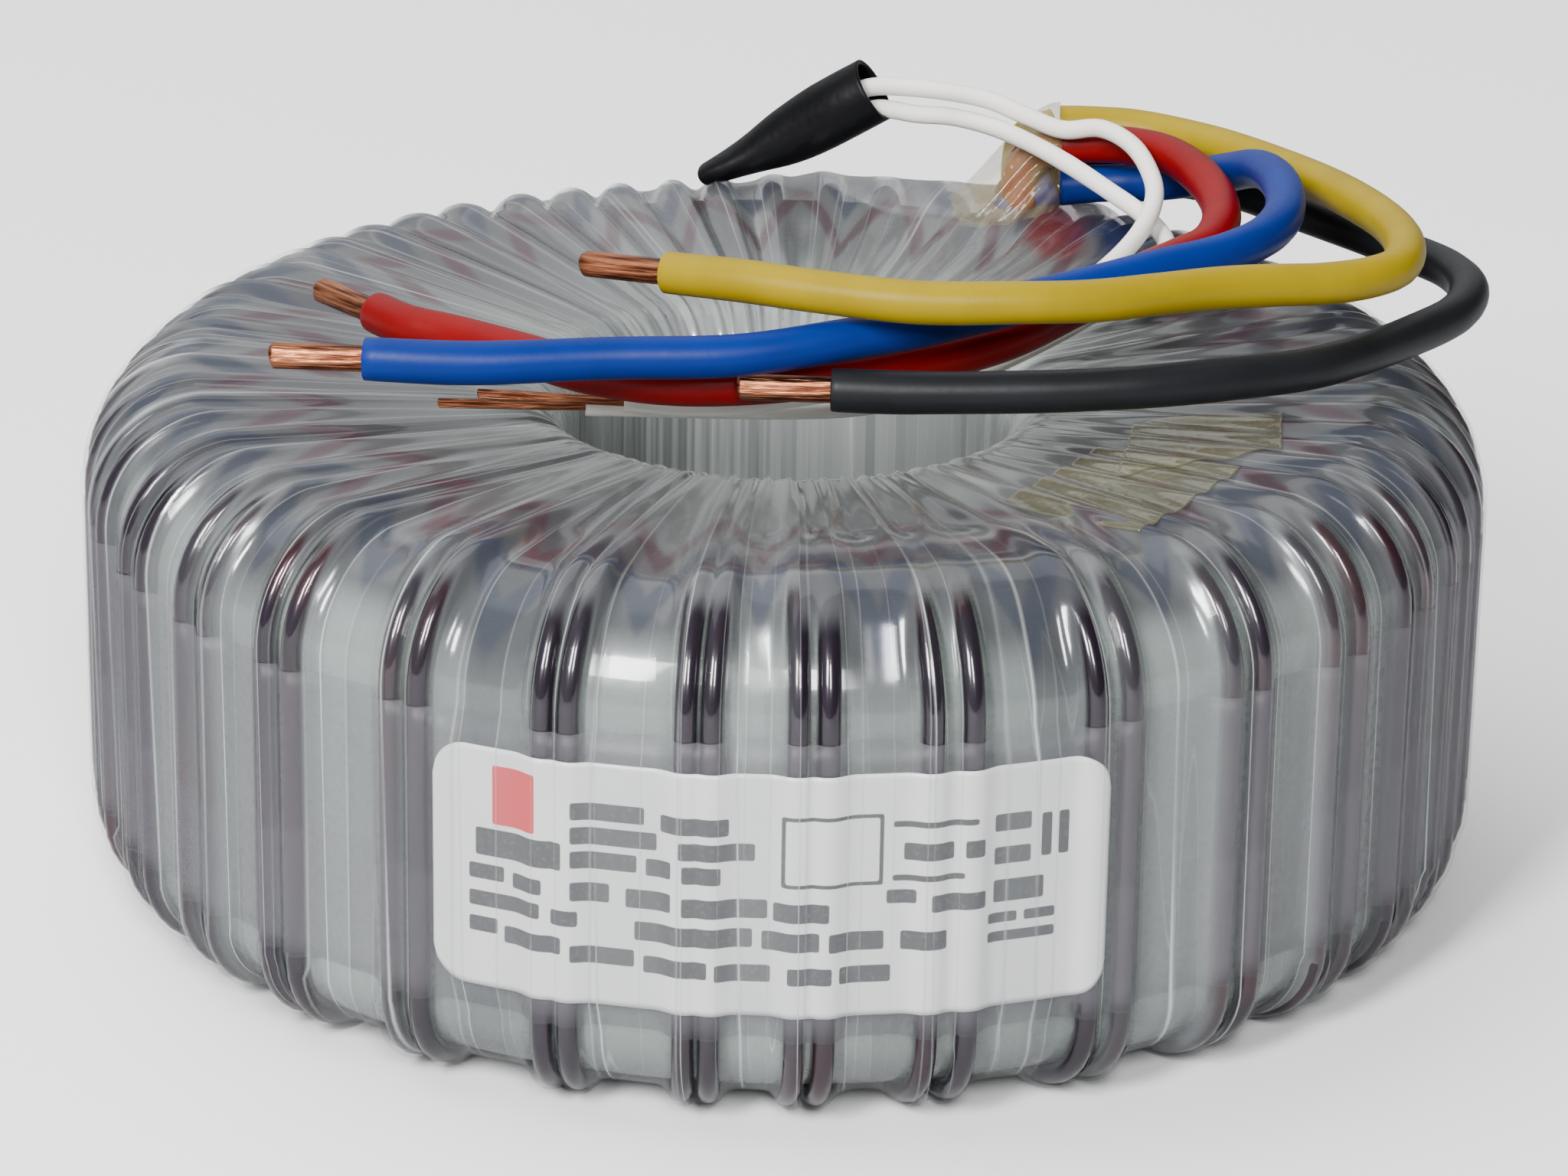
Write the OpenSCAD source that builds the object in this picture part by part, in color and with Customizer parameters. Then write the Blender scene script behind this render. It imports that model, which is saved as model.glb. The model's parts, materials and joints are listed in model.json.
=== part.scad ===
// Toroidal mains transformer with a bifilar secondary laid over a primary on a strip-wound core.
// The whole ring is held by a clear film wrap that follows every pair of secondary wires.
// Origin: middle of the underside, on the axis of the hole. +Z up, the label faces -Y.

/* [Ring] */
// Diameter over the film on the wire crests
outer_d = 164; // [150:1:190]
// Height over the film, top to bottom
height = 61; // [54:1:80]
// Clear hole through the film
hole_d = 51; // [48:1:60]
// How far the top and bottom sink from the shoulder to the hole
dish = 2.8; // [0:0.2:4]
// Radius of the shoulder at the top
shoulder_top_r = 14; // [12:0.5:16]
// Radius of the shoulder at the bottom
shoulder_bottom_r = 11; // [10:0.5:14]
// Radius where the ring turns into the hole
rim_r = 8; // [7:0.5:10]

/* [Core] */
// Edge radius that the core is dressed to
core_edge_r = 1; // [0.4:0.2:3]
// Thickness of the core insulation
core_wrap_t = 1; // [0.4:0.1:2]

/* [Windings] */
// Build of the primary at the outside of the core
primary_side_t = 2.8; // [1.5:0.1:5]
// Build of the primary in the hole
primary_hole_t = 4.3; // [2:0.1:6]
// Build of the primary on the top and bottom of the core, at the shoulder
primary_top_t = 4.3; // [3.5:0.1:8]
// Turns in each secondary
turns = 32; // [20:1:32]
// Diameter of the secondary wire
wire_d = 2.5; // [1.6:0.1:2.6]
// Space between the two wires of a pair
pair_gap = 0.12; // [0.05:0.01:0.6]
// Angle of the first pair, from the middle of the label
first_pair_a = 3.75; // [0:0.25:11]
// Thickness of the insulation between primary and secondary
interwinding_t = 1.2; // [0.6:0.1:2]

/* [Film, band and label] */
// Thickness of the outer film wrap
wrap_t = 0.5; // [0.3:0.05:0.8]
// Clearance between layers
layer_gap = 0.1; // [0.05:0.01:0.2]
// Width of film that rises over a pair of wires
rib_w = 7.4; // [7.4:0.1:8]
// Height of the ribs above the film between them
rib_h = 2.4; // [1:0.1:3]
// Width of the film's foot beside a rib, both sides together
foot_w = 1.4; // [0.6:0.1:2]
// Depth of the foot below the top of the rib
foot_drop = 1.3; // [0.6:0.1:1.6]
// Thickness of the band round the side
band_t = 0.25; // [0.15:0.05:0.4]
// Height of the lower edge of the band
band_low = 12; // [11:0.5:18]
// Height of the upper edge of the band
band_high = 46; // [36:0.5:48]
// Thickness of the label
label_t = 0.15; // [0.1:0.05:0.25]
// Width of the label, straight across
label_w = 72; // [40:1:90]
// Height of the label
label_h = 28; // [16:1:30]
// Height of the lower edge of the label
label_low = 15; // [13:0.5:20]
// Corner radius of the label
label_r = 4; // [1:0.5:8]

/* [Leads] */
// Diameter of a sleeved secondary lead
lead_d = 4.8; // [3.6:0.1:4.9]
// Diameter of a sleeved primary lead
fine_lead_d = 2.3; // [1.6:0.1:2.3]
// Diameter of the bared primary conductor
fine_wire_d = 1.15; // [0.6:0.05:1.6]
// Diameter of the mouth of the black sleeve
sleeve_d = 8.2; // [8.2:0.1:9]
// Wall of the black sleeve
sleeve_t = 0.6; // [0.4:0.1:0.8]
// Bared length of a secondary lead
bare_len = 10; // [6:0.5:14]
// Bared length of a primary lead
fine_bare_len = 16.5; // [8:0.5:20]

/* [Tapes] */
// Thickness of the clear patch tape
patch_t = 0.15; // [0.1:0.05:0.3]
// Width of each strip of patch tape
patch_w = 15; // [8:0.5:20]
// Length of the longer strip of patch tape
patch_len = 34; // [20:1:40]
// How far the exit tape stands out round the leads
exit_wall = 0.5; // [0.3:0.1:0.8]
// Radius of the foot of the exit tape
exit_foot_r = 8; // [6:0.5:10]

/* [Hidden] */

// Circles that carry a fit are smooth, and swept tubes have few faces.
FINE = 128;
WIRE_SIDES = 6;
LEAD_SIDES = 8;
LEAD_FINE = 32;
SLEEVE_SIDES = 12;
// Steps round a shoulder and round a rim in every layer's section.
SHOULDER_STEPS = 4;
WIRE_STEPS = 2;
RIM_STEPS = 2;
LEAD_STEPS = 2;
OVERCUT = 1;

wire_r = wire_d/2;
pitch_a = 360/turns;
// Layers from the surface down to the middle of the secondary wire.
label_in = wrap_t + layer_gap/2;
band_in = label_in + label_t + layer_gap/2;
wire_in = band_in + band_t + layer_gap;
axis_in = wire_in + wire_r;
under_in = wire_in + wire_d + layer_gap;
primary_in = under_in + interwinding_t + layer_gap;

leg_out_r = outer_d/2 - axis_in;
leg_in_r = hole_d/2 + axis_in;
pair_out_a = asin((wire_d + pair_gap)/2/leg_out_r);
pair_in_a = pitch_a/4;
core_gap = layer_gap;
// The core fills what the windings and its own insulation leave.
core_in = primary_in + core_gap + core_wrap_t + core_gap;
core_d = outer_d - 2*(core_in + primary_side_t);
core_bore_d = hole_d + 2*(core_in + primary_hole_t);
core_z = core_in + primary_top_t;
core_h = height - 2*core_z;
// How far the ribs sink below the film in the hole, how far the upper and lower ribs overlap
// on the side, and the turn on which both windings start.
rib_sink = 0.2;
rib_join = 0.3;
exit_turn = 13;

function polar(r, a) = [r*cos(a), r*sin(a)];
function unit(v) = v/norm(v);
function flat(lists) = [for (l = lists) each l];
function arc(c, r, a0, a1, n) = [for (i = [0:n]) c + polar(r, a0 + (a1 - a0)*i/n)];

// Section of the ring in the plane of its axis, set in by "out" at the outside and "hole" at the hole.
function section(out, hole, steps = SHOULDER_STEPS) = flat([
    arc([outer_d/2 - shoulder_bottom_r, shoulder_bottom_r], shoulder_bottom_r - out, -90, 0, steps),
    arc([outer_d/2 - shoulder_top_r, height - shoulder_top_r], shoulder_top_r - out, 0, 90, steps),
    arc([hole_d/2 + rim_r, height - dish - rim_r], rim_r - hole, 90, 180, RIM_STEPS),
    arc([hole_d/2 + rim_r, dish + rim_r], rim_r - hole, 180, 270, RIM_STEPS)]);

module ring(out, hole, steps = SHOULDER_STEPS) {
    rotate_extrude($fn = FINE) polygon(section(out, hole, steps));
}

// Outline of a rib, set in by "t", with x running inwards from the wires' outer leg and y going in
// from the surface. It ends on the flat, where it has died away into the ring.
function rib_outline(t, shoulder, run, depth) = concat(
    [[t - axis_in, depth]],
    arc([shoulder - axis_in, shoulder], shoulder - t, 180, 270, SHOULDER_STEPS),
    [[run - rim_r + axis_in, dish + rib_sink + t], [run - rim_r + axis_in, depth]]);

// A rib "w" wide from the outer leg at the angle "a_out" towards the leg in the hole at "a_in".
module rib(t, w, a_out, a_in, shoulder, depth) {
    p = polar(leg_out_r, a_out);
    q = polar(leg_in_r, a_in);
    way = q - p;
    translate(p) rotate([0, 0, atan2(way[1], way[0])]) rotate([90, 0, 0]) translate([0, 0, -w/2])
        linear_extrude(w) polygon(rib_outline(t, shoulder, norm(way), depth));
}

// Ribs over all the pairs: up the side and straight across the top, and one pitch on at the bottom.
module ribs(t, w) {
    for (k = [0:turns - 1]) {
        a = first_pair_a - 90 + k*pitch_a;
        translate([0, 0, height]) mirror([0, 0, 1])
            rib(t, w, a, a, shoulder_top_r, height - shoulder_bottom_r - rib_join);
        rib(t, w, a + pitch_a, a, shoulder_bottom_r, shoulder_bottom_r + 2*rib_join);
    }
}

module ribbed_ring(t) {
    ring(rib_h + t, t);
    ribs(t, rib_w - 2*t);
}

// A closed skin swept along rings of points that all have the same number of points.
module skin(rings) {
    n = len(rings[0]);
    last = len(rings) - 1;
    sides = [for (i = [0:last - 1], j = [0:n - 1])
        [i*n + j, i*n + (j + 1)%n, (i + 1)*n + (j + 1)%n, (i + 1)*n + j]];
    polyhedron(flat(rings), concat([[for (j = [n - 1:-1:0]) j]], sides,
        [[for (j = [0:n - 1]) last*n + j]]));
}

// Ring of points square to the direction t, with its first point towards "side".
function hoop(c, t, side, r, sides) =
    let (u = unit(side - (side*t)*t), v = cross(t, u))
    [for (j = [0:sides - 1]) c + r*(cos(-360*j/sides)*u + sin(-360*j/sides)*v)];

// Direction of a path at point i: halfway between the stretches that meet there.
function heading(path, i) = i == 0 ? unit(path[1] - path[0])
    : i == len(path) - 1 ? unit(path[i] - path[i - 1])
    : unit(unit(path[i + 1] - path[i]) + unit(path[i] - path[i - 1]));

// --- Core and inner layers -------------------------------------------------

module edge_ring(d, bore, z, h, r) {
    translate([0, 0, z]) rotate_extrude($fn = FINE) polygon(flat([
        arc([d/2 - r, r], r, -90, 0, SHOULDER_STEPS), arc([d/2 - r, h - r], r, 0, 90, SHOULDER_STEPS),
        arc([bore/2 + r, h - r], r, 90, 180, SHOULDER_STEPS),
        arc([bore/2 + r, r], r, 180, 270, SHOULDER_STEPS)]));
}

module core() {
    color("slategray") edge_ring(core_d, core_bore_d, core_z, core_h, core_edge_r);
}

module core_wrap_space(extra) {
    grow = core_gap + extra;
    edge_ring(core_d + 2*grow, core_bore_d - 2*grow, core_z - grow, core_h + 2*grow,
        core_edge_r + grow);
}

module core_wrap() {
    color("beige") difference() {
        core_wrap_space(core_wrap_t);
        core_wrap_space(0);
    }
}

module primary_winding() {
    color("sienna") difference() {
        ring(primary_in, primary_in, WIRE_STEPS);
        core_wrap_space(core_wrap_t + core_gap);
    }
}

module interwinding_wrap() {
    color("gainsboro") difference() {
        ring(under_in, under_in, WIRE_STEPS);
        ring(under_in + interwinding_t, under_in + interwinding_t, WIRE_STEPS);
    }
}

// --- Secondary windings ----------------------------------------------------

// Middle line of the wire across the top or the bottom, in the plane through both legs:
// from the outer leg over the shoulder and along the ring into the hole.
function crossing(a_out, a_in, z_side, shoulder) =
    let (p = polar(leg_out_r, a_out), q = polar(leg_in_r, a_in), d = norm(q - p), u = (q - p)/d,
        low = dish + axis_in, bend = shoulder - axis_in, turn_in = rim_r - axis_in,
        line = concat(
            arc([bend, -axis_in - bend], bend, 180, 90, WIRE_STEPS),
            arc([d - turn_in, -low - turn_in], turn_in, 90, 0, RIM_STEPS)))
    [for (s = line) [p[0] + u[0]*s[0], p[1] + u[1]*s[0], z_side > 0 ? height + s[1] : -s[1]]];

function reversed(l) = [for (i = [len(l) - 1:-1:0]) l[i]];

// Middle line of a whole winding. It starts on the top at the exit tape and ends going up beside it.
function winding_line(side) =
    let (first_a = first_pair_a - 90 + exit_turn*pitch_a,
        turn_lines = [for (k = [0:turns - 1])
            let (a = first_a + k*pitch_a, out = a + side*pair_out_a, hole = a + side*pair_in_a)
            concat(crossing(out, hole, 1, shoulder_top_r),
                reversed(crossing(out + pitch_a, hole, -1, shoulder_bottom_r)))],
        line = flat(turn_lines))
    concat([for (i = [WIRE_STEPS:len(line) - 1]) line[i]], [line[0]]);

module winding(side) {
    line = winding_line(side);
    skin([for (i = [0:len(line) - 1])
        hoop(line[i], heading(line, i), [-line[i][1], line[i][0], 0], wire_r, WIRE_SIDES)]);
}

module secondary_a() { color("indigo") winding(-1); }
module secondary_b() { color("indigo") winding(1); }

// --- Band, label and film --------------------------------------------------

module band_shell(t_in, t) {
    difference() {
        ribbed_ring(t_in);
        ribbed_ring(t_in + t);
    }
}

module side_zone(low, high) {
    inner_r = outer_d/2 - shoulder_top_r;
    difference() {
        translate([0, 0, low]) cylinder(r = outer_d, h = high - low, $fn = FINE);
        translate([0, 0, low - OVERCUT])
            cylinder(r = inner_r, h = high - low + 2*OVERCUT, $fn = FINE);
    }
}

module side_band() {
    color("lightsteelblue") intersection() {
        band_shell(band_in, band_t);
        side_zone(band_low, band_high);
    }
}

module rounded_panel(w, h, r) {
    translate([-w/2 + r, 0]) square([w - 2*r, h]);
    translate([-w/2, r]) square([w, h - 2*r]);
    for (x = [-w/2 + r, w/2 - r], z = [r, h - r]) translate([x, z]) circle(r, $fn = FINE/4);
}

module rating_label() {
    color("white") intersection() {
        band_shell(label_in, label_t);
        side_zone(label_low, label_low + label_h);
        translate([0, 0, label_low]) rotate([90, 0, 0]) linear_extrude(outer_d)
            rounded_panel(label_w, label_h, label_r);
    }
}

module outer_wrap() {
    color("lightgray", 0.5) difference() {
        union() {
            ribbed_ring(0);
            ribs(foot_drop, rib_w + foot_w);
        }
        ribbed_ring(wrap_t);
    }
}

// --- Tapes on the top ------------------------------------------------------

// Puts its children on the sloping top, "r" from the axis at the angle "a", "lift" above it.
module on_top(r, a, lift) {
    slope = atan(dish/(outer_d/2 - shoulder_top_r - hole_d/2 - rim_r));
    sunk = (outer_d/2 - shoulder_top_r - r)*tan(slope);
    rotate([0, 0, a]) translate([r, 0, height - sunk + lift]) rotate([0, -slope, 0]) children();
}

// A strip with one end cut slantwise.
module strip(len, w, slant) {
    linear_extrude(patch_t) polygon([[-w/2, -len/2], [w/2, -len/2 + slant], [w/2, len/2],
        [-w/2, len/2 - slant]]);
}

// Where the patch tape lies: radius and angle of its middle, height above the crests,
// slant of its ends, and how the second strip lies on the first.
patch_r = 50;
patch_a = -40;
patch_lift = 0.4;
patch_slant = 3;
patch_shift = [-1, -5];
patch_turn = 12;
patch_share = 0.65;

module patch_tape() {
    color("khaki", 0.6) {
        on_top(patch_r, patch_a, patch_lift) strip(patch_len, patch_w, patch_slant);
        on_top(patch_r, patch_a, patch_lift + patch_t)
            translate([patch_shift[0], patch_shift[1], 0]) rotate([0, 0, patch_turn])
                strip(patch_len*patch_share, patch_w, -patch_slant);
    }
}

// Clear tape drawn up like a tent round the roots of the four secondary leads.
module exit_tape() {
    color("goldenrod", 0.6) translate(on_ring) hull() {
        translate([exit_foot_at[0], exit_foot_at[1], layer_gap])
            cylinder(r = exit_foot_r, h = exit_t, $fn = LEAD_FINE);
        for (route = [route_red, route_yellow, route_blue, route_grey])
            translate([exit_x - exit_t, route[0][1], route[0][2]]) rotate([0, 90, 0])
                cylinder(d = lead_d + 2*exit_wall, h = exit_t, $fn = LEAD_FINE);
    }
}

// --- Leads -----------------------------------------------------------------

// Each route starts where the lead comes out and ends where its sleeve is stripped. Its heights
// are above the ring's top.
route_red = [[34, 57, 9], [38.5, 56, 9.5], [43, 53.5, 10], [47, 48.5, 10.5], [50, 41.5, 10.5],
    [52, 33, 10], [52, 25, 9.5], [50, 18, 9], [46, 12, 9], [40, 4, 9], [33, -6.5, 9],
    [24.5, -19, 9], [15, -27, 9], [2.5, -33, 9], [-10, -35.5, 9], [-20.5, -33, 9], [-29, -26.5, 9],
    [-37, -20.5, 9], [-43, -17, 9], [-47, -12.5, 9]];
route_yellow = [[34, 62.5, 10], [38.5, 62.3, 10], [43, 61.5, 10], [48.5, 59, 9.8], [54, 54, 10],
    [59.5, 47.5, 10], [64, 37, 11.2], [67.5, 24.5, 12.8], [70.5, 12, 14], [71.5, 1, 14.8],
    [70, -8.5, 15.3], [66, -14.5, 15.8], [60.5, -18.5, 16.3], [54.5, -21.5, 17], [47.5, -26, 18],
    [40.5, -31.5, 19], [33.5, -35.5, 19.5], [25, -38, 20], [14.5, -38.5, 20], [4, -35.5, 20],
    [-5, -32, 20], [-13.5, -28, 19.5]];
route_blue = [[34, 57, 3.5], [38.5, 57, 4], [43.5, 56, 4.5], [49, 53, 6], [54, 46.5, 9],
    [57, 38, 12.2], [58.5, 29, 14], [59, 19.5, 14.8], [58, 10, 15], [55, 2, 15], [49.5, -5, 15],
    [41.5, -11, 15], [32, -17.5, 14.5], [22.5, -24.5, 14.5], [14, -31, 14.5], [4.5, -36.5, 14.5],
    [-6, -40, 14], [-19.5, -41.5, 14], [-34, -43.8, 14], [-46, -43, 14]];
route_grey = [[34, 62.5, 4.5], [40, 63, 4], [47, 61.5, 3.8], [55, 57, 3.8], [62, 48.5, 4],
    [68.5, 38.5, 4.5], [74.5, 29, 5], [79, 20.5, 5.5], [80.5, 11, 6], [78, 2, 6], [71.5, -8, 6.5],
    [64, -18.5, 7.5], [57.5, -26, 8.5], [49.5, -32, 9.5], [40, -36.5, 10], [30, -38.5, 10],
    [20, -39.5, 10], [12, -39.8, 10], [5, -39.4, 10]];
route_white_a = [[7.5, 67.2, 12.3], [10.8, 66.5, 13.4], [15.5, 64.5, 13.9], [20, 62.5, 14],
    [25, 59.5, 14], [29.5, 56, 13.5], [34, 53.3, 13], [38.5, 51.5, 12.5], [42, 47.5, 12],
    [44, 41.5, 11], [44.5, 34.5, 9.5], [42.5, 27, 7.5], [38, 18.5, 5.5], [32, 9, 4.5],
    [24, -3, 4.5], [15.5, -15, 4.5], [8, -22.5, 4.5], [0, -26, 4.2], [-8, -28.6, 4],
    [-18, -28, 4.2]];
route_white_b = [[8.8, 66.9, 10], [11.6, 66.2, 11.1], [16, 64, 11.3], [20.5, 62, 11.5],
    [25.5, 57.5, 11.3], [30, 51.5, 10.8], [34.5, 45.5, 10], [39.2, 40.5, 8.3], [43.4, 35.8, 6.6],
    [45.8, 29.5, 5.3], [44.3, 22.5, 4.2], [39.5, 15, 3.2], [33, 5.5, 2.3], [25.5, -4.5, 1.8],
    [16.5, -15, 1.5], [8.5, -20.5, 1.5], [0, -23.5, 2], [-10, -25, 2.5], [-22.5, -26, 2.9]];
route_sleeve = [[-9, 70.5, 1.4], [-4, 70, 3], [1, 69, 6.2], [6, 67.5, 10], [10.5, 66.5, 13]];
on_ring = [0, 0, height];
// The leads leave the exit tape square to its mouth, and the sleeve along its last stretch.
exit_x = route_red[0][0];
exit_t = 1.2;
exit_foot_at = [25.5, 58];
exit_way = [1, 0, 0];
sleeve_way = end_way(route_sleeve);

function blend(a, b, c, d, t) =
    (2*b + (c - a)*t + (2*a - 5*b + 4*c - d)*t*t + (3*b - a - 3*c + d)*t*t*t)/2;

// The smooth curve through a route's points.
function smooth(p, steps) = let (n = len(p) - 1) concat(flat([for (i = [0:n - 1])
    let (a = i > 0 ? p[i - 1] : 2*p[0] - p[1], d = i < n - 1 ? p[i + 2] : 2*p[n] - p[n - 1])
    [for (k = [0:steps - 1]) blend(a, p[i], p[i + 1], d, k/steps)]]), [p[n]]);

// Sleeved lead that sets off in the direction "out" and ends square to its bare end.
module lead(route, d, out) {
    line = smooth(route, LEAD_STEPS);
    n = len(line) - 1;
    translate(on_ring) skin([for (i = [0:n]) hoop(line[i], i == 0 ? out : i == n ? end_way(route) : heading(line, i),
        [0, 0, 1], d/2, LEAD_SIDES)]);
}

function end_way(route) = unit(route[len(route) - 1] - route[len(route) - 2]);

// Bared conductor that carries on straight from the end of a route.
module bare_end(route, d, len) {
    t = end_way(route);
    translate(on_ring + route[len(route) - 1]) rotate([0, acos(t[2]), atan2(t[1], t[0])])
        cylinder(d = d, h = len, $fn = LEAD_FINE);
}

module lead_red() { color("crimson") lead(route_red, lead_d, exit_way); }
module lead_yellow() { color("gold") lead(route_yellow, lead_d, exit_way); }
module lead_blue() { color("royalblue") lead(route_blue, lead_d, exit_way); }
module lead_grey() { color("dimgray") lead(route_grey, lead_d, exit_way); }
module lead_white_a() { color("ivory") lead(route_white_a, fine_lead_d, sleeve_way); }
module lead_white_b() { color("ivory") lead(route_white_b, fine_lead_d, sleeve_way); }
module bare_end_red() { color("peru") bare_end(route_red, wire_d, bare_len); }
module bare_end_yellow() { color("peru") bare_end(route_yellow, wire_d, bare_len); }
module bare_end_blue() { color("peru") bare_end(route_blue, wire_d, bare_len); }
module bare_end_grey() { color("peru") bare_end(route_grey, wire_d, bare_len); }
module bare_end_white_a() { color("peru") bare_end(route_white_a, fine_wire_d, fine_bare_len); }
module bare_end_white_b() { color("peru") bare_end(route_white_b, fine_wire_d, fine_bare_len); }

// The black sleeve is solid up to ring "sleeve_solid" and fully round after the share "sleeve_round".
sleeve_press = 0.35;
sleeve_round = 0.6;
sleeve_solid = 5;

// Black sleeve round both primary leads: pressed flat at its root, round at its open mouth.
function sleeve_hoops(line, inset) = [for (i = [0:len(line) - 1])
    let (t = heading(line, i), open = min(1, i/(len(line) - 1)/sleeve_round),
        wide = sleeve_d/2*1.1*(1 - open) + sleeve_d/2*open - inset,
        tall = sleeve_d/2*sleeve_press*(1 - open) + sleeve_d/2*open - inset,
        u = unit([0, 0, 1] - t[2]*t), v = cross(t, u))
    [for (j = [0:SLEEVE_SIDES - 1]) line[i]
        + tall*cos(-360*j/SLEEVE_SIDES)*u + wide*sin(-360*j/SLEEVE_SIDES)*v]];

module primary_sleeve() {
    line = smooth(route_sleeve, LEAD_STEPS);
    n = len(line) - 1;
    bore_line = [for (i = [sleeve_solid:n + 1])
        i > n ? line[n] + OVERCUT*unit(line[n] - line[n - 1]) : line[i]];
    color("black") translate(on_ring) difference() {
        skin(sleeve_hoops(line, 0));
        skin([for (i = [0:len(bore_line) - 1]) hoop(bore_line[i], heading(bore_line, i), [0, 0, 1],
            sleeve_d/2 - sleeve_t, SLEEVE_SIDES)]);
    }
}

core();
core_wrap();
primary_winding();
interwinding_wrap();
secondary_a();
secondary_b();
side_band();
rating_label();
outer_wrap();
patch_tape();
exit_tape();
primary_sleeve();
lead_red();
lead_yellow();
lead_blue();
lead_grey();
lead_white_a();
lead_white_b();
bare_end_red();
bare_end_yellow();
bare_end_blue();
bare_end_grey();
bare_end_white_a();
bare_end_white_b();
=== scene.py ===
"""Toroidal mains transformer: film-wrapped ring, paired windings, label, tapes and six free leads.

Lengths in the drawing helpers are millimetres, and every mesh is put in metres when it is made.
"""
import json
import math

import bpy
import numpy as np
from mathutils import Matrix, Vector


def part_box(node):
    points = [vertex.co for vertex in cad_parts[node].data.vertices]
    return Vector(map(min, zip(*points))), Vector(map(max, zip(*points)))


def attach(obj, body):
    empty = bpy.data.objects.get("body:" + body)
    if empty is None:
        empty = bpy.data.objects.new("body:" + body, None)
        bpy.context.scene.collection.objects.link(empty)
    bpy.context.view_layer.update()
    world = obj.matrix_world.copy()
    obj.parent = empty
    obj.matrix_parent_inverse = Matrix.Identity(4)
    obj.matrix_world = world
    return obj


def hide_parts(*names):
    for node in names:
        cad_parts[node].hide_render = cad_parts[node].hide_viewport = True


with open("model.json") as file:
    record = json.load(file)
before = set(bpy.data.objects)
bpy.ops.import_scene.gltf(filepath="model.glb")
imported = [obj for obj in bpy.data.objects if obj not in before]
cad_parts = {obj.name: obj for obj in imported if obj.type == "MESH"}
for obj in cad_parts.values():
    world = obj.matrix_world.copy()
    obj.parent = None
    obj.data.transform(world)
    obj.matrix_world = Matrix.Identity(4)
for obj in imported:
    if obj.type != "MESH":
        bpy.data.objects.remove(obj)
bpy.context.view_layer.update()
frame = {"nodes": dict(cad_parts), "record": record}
MM = 0.001


# --- Sizes ---
def box_mm(node):
    """Low and high corner of a solid, in millimetres."""
    return [np.array(corner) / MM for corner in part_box(node)]


def heights(node):
    """Lowest and highest place of a solid."""
    return [corner[2] for corner in box_mm(node)]


_, RING_TOP = box_mm("outer_wrap")
OUTER_R = RING_TOP[1]
HEIGHT = RING_TOP[2]
HOLE_R = next(m for m in frame["record"]["mounts"] if m["name"] == "centre_hole")["dims"]["r_mm"]
DISH = 2.8
SHOULDER_TOP_R = 14.0
SHOULDER_BOTTOM_R = 11.0
RIM_R = 8.0
# Where the dished top starts and ends, as radii.
TOP_IN = HOLE_R + RIM_R
TOP_OUT = OUTER_R - SHOULDER_TOP_R

PAIRS = 32
PITCH = 2 * math.pi / PAIRS
FIRST_PAIR = math.radians(3.75 - 90)
WIRE_R = 1.25

# Depth of each layer's crest below the surface of the ring.
FILM_IN = 0.12
LABEL_IN = 0.24
BAND_IN = 0.36
WIRE_IN = 0.56
UNDERLAYER_IN = 2.95
SHEET_T = 0.1

# How far each wire pair has wandered from its even place on the outside, in degrees, from the
# pair just right of the label's middle, going round to the right.
WANDER = np.radians((
    -1.2, -1.9, -0.2, 1.0, 1.1, 0.4, -0.5, 0.3, 0.9, -0.4, -0.9, 0.2, 0.6, -0.3, -0.8, 0.4,
    0.8, -0.2, -0.7, 0.3, 0.5, -0.6, -0.2, 0.7, 0.1, -0.5, -0.1, -0.6, -1.2, 0.1, 1.6, 1.4,
))

# Half the distance between the two wires of each pair on the outside, in the same order. They
# lie side by side at the front, and draw apart until they are evenly spread at the back.
SPREAD = np.array((1.6, 2.2, 2.1, 2.2, 2.6, 3.0, 3.4, 3.7) + (3.9,) * 16
                  + (3.6, 3.2, 2.8, 2.5, 2.1, 1.8, 1.5, 1.4))

# Where the label starts and ends, as angles, and how round its corners are.
LABEL_START = math.radians(-90 - 27)
LABEL_END = math.radians(-90 + 25.5)
LABEL_CORNER = 4.0

# Values that start again at the back of the ring, and after the way round its section.
PERIODS = {
    "turn": PAIRS,
    "along": 2 * (OUTER_R - HOLE_R + HEIGHT - DISH) - (4 - math.pi) / 2 * (
        SHOULDER_TOP_R + SHOULDER_BOTTOM_R + 2 * RIM_R),
}

# The two kinds of lead: sleeve and conductor across, bared length, wall of air round the
# conductor, and faces round the sleeve.
HEAVY = {"sleeve": 4.8, "conductor": 3.0, "bare": 10.0, "air": 0.25, "sides": 24}
FINE = {"sleeve": 2.3, "conductor": 1.15, "bare": 16.5, "air": 0.12, "sides": 16}

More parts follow.
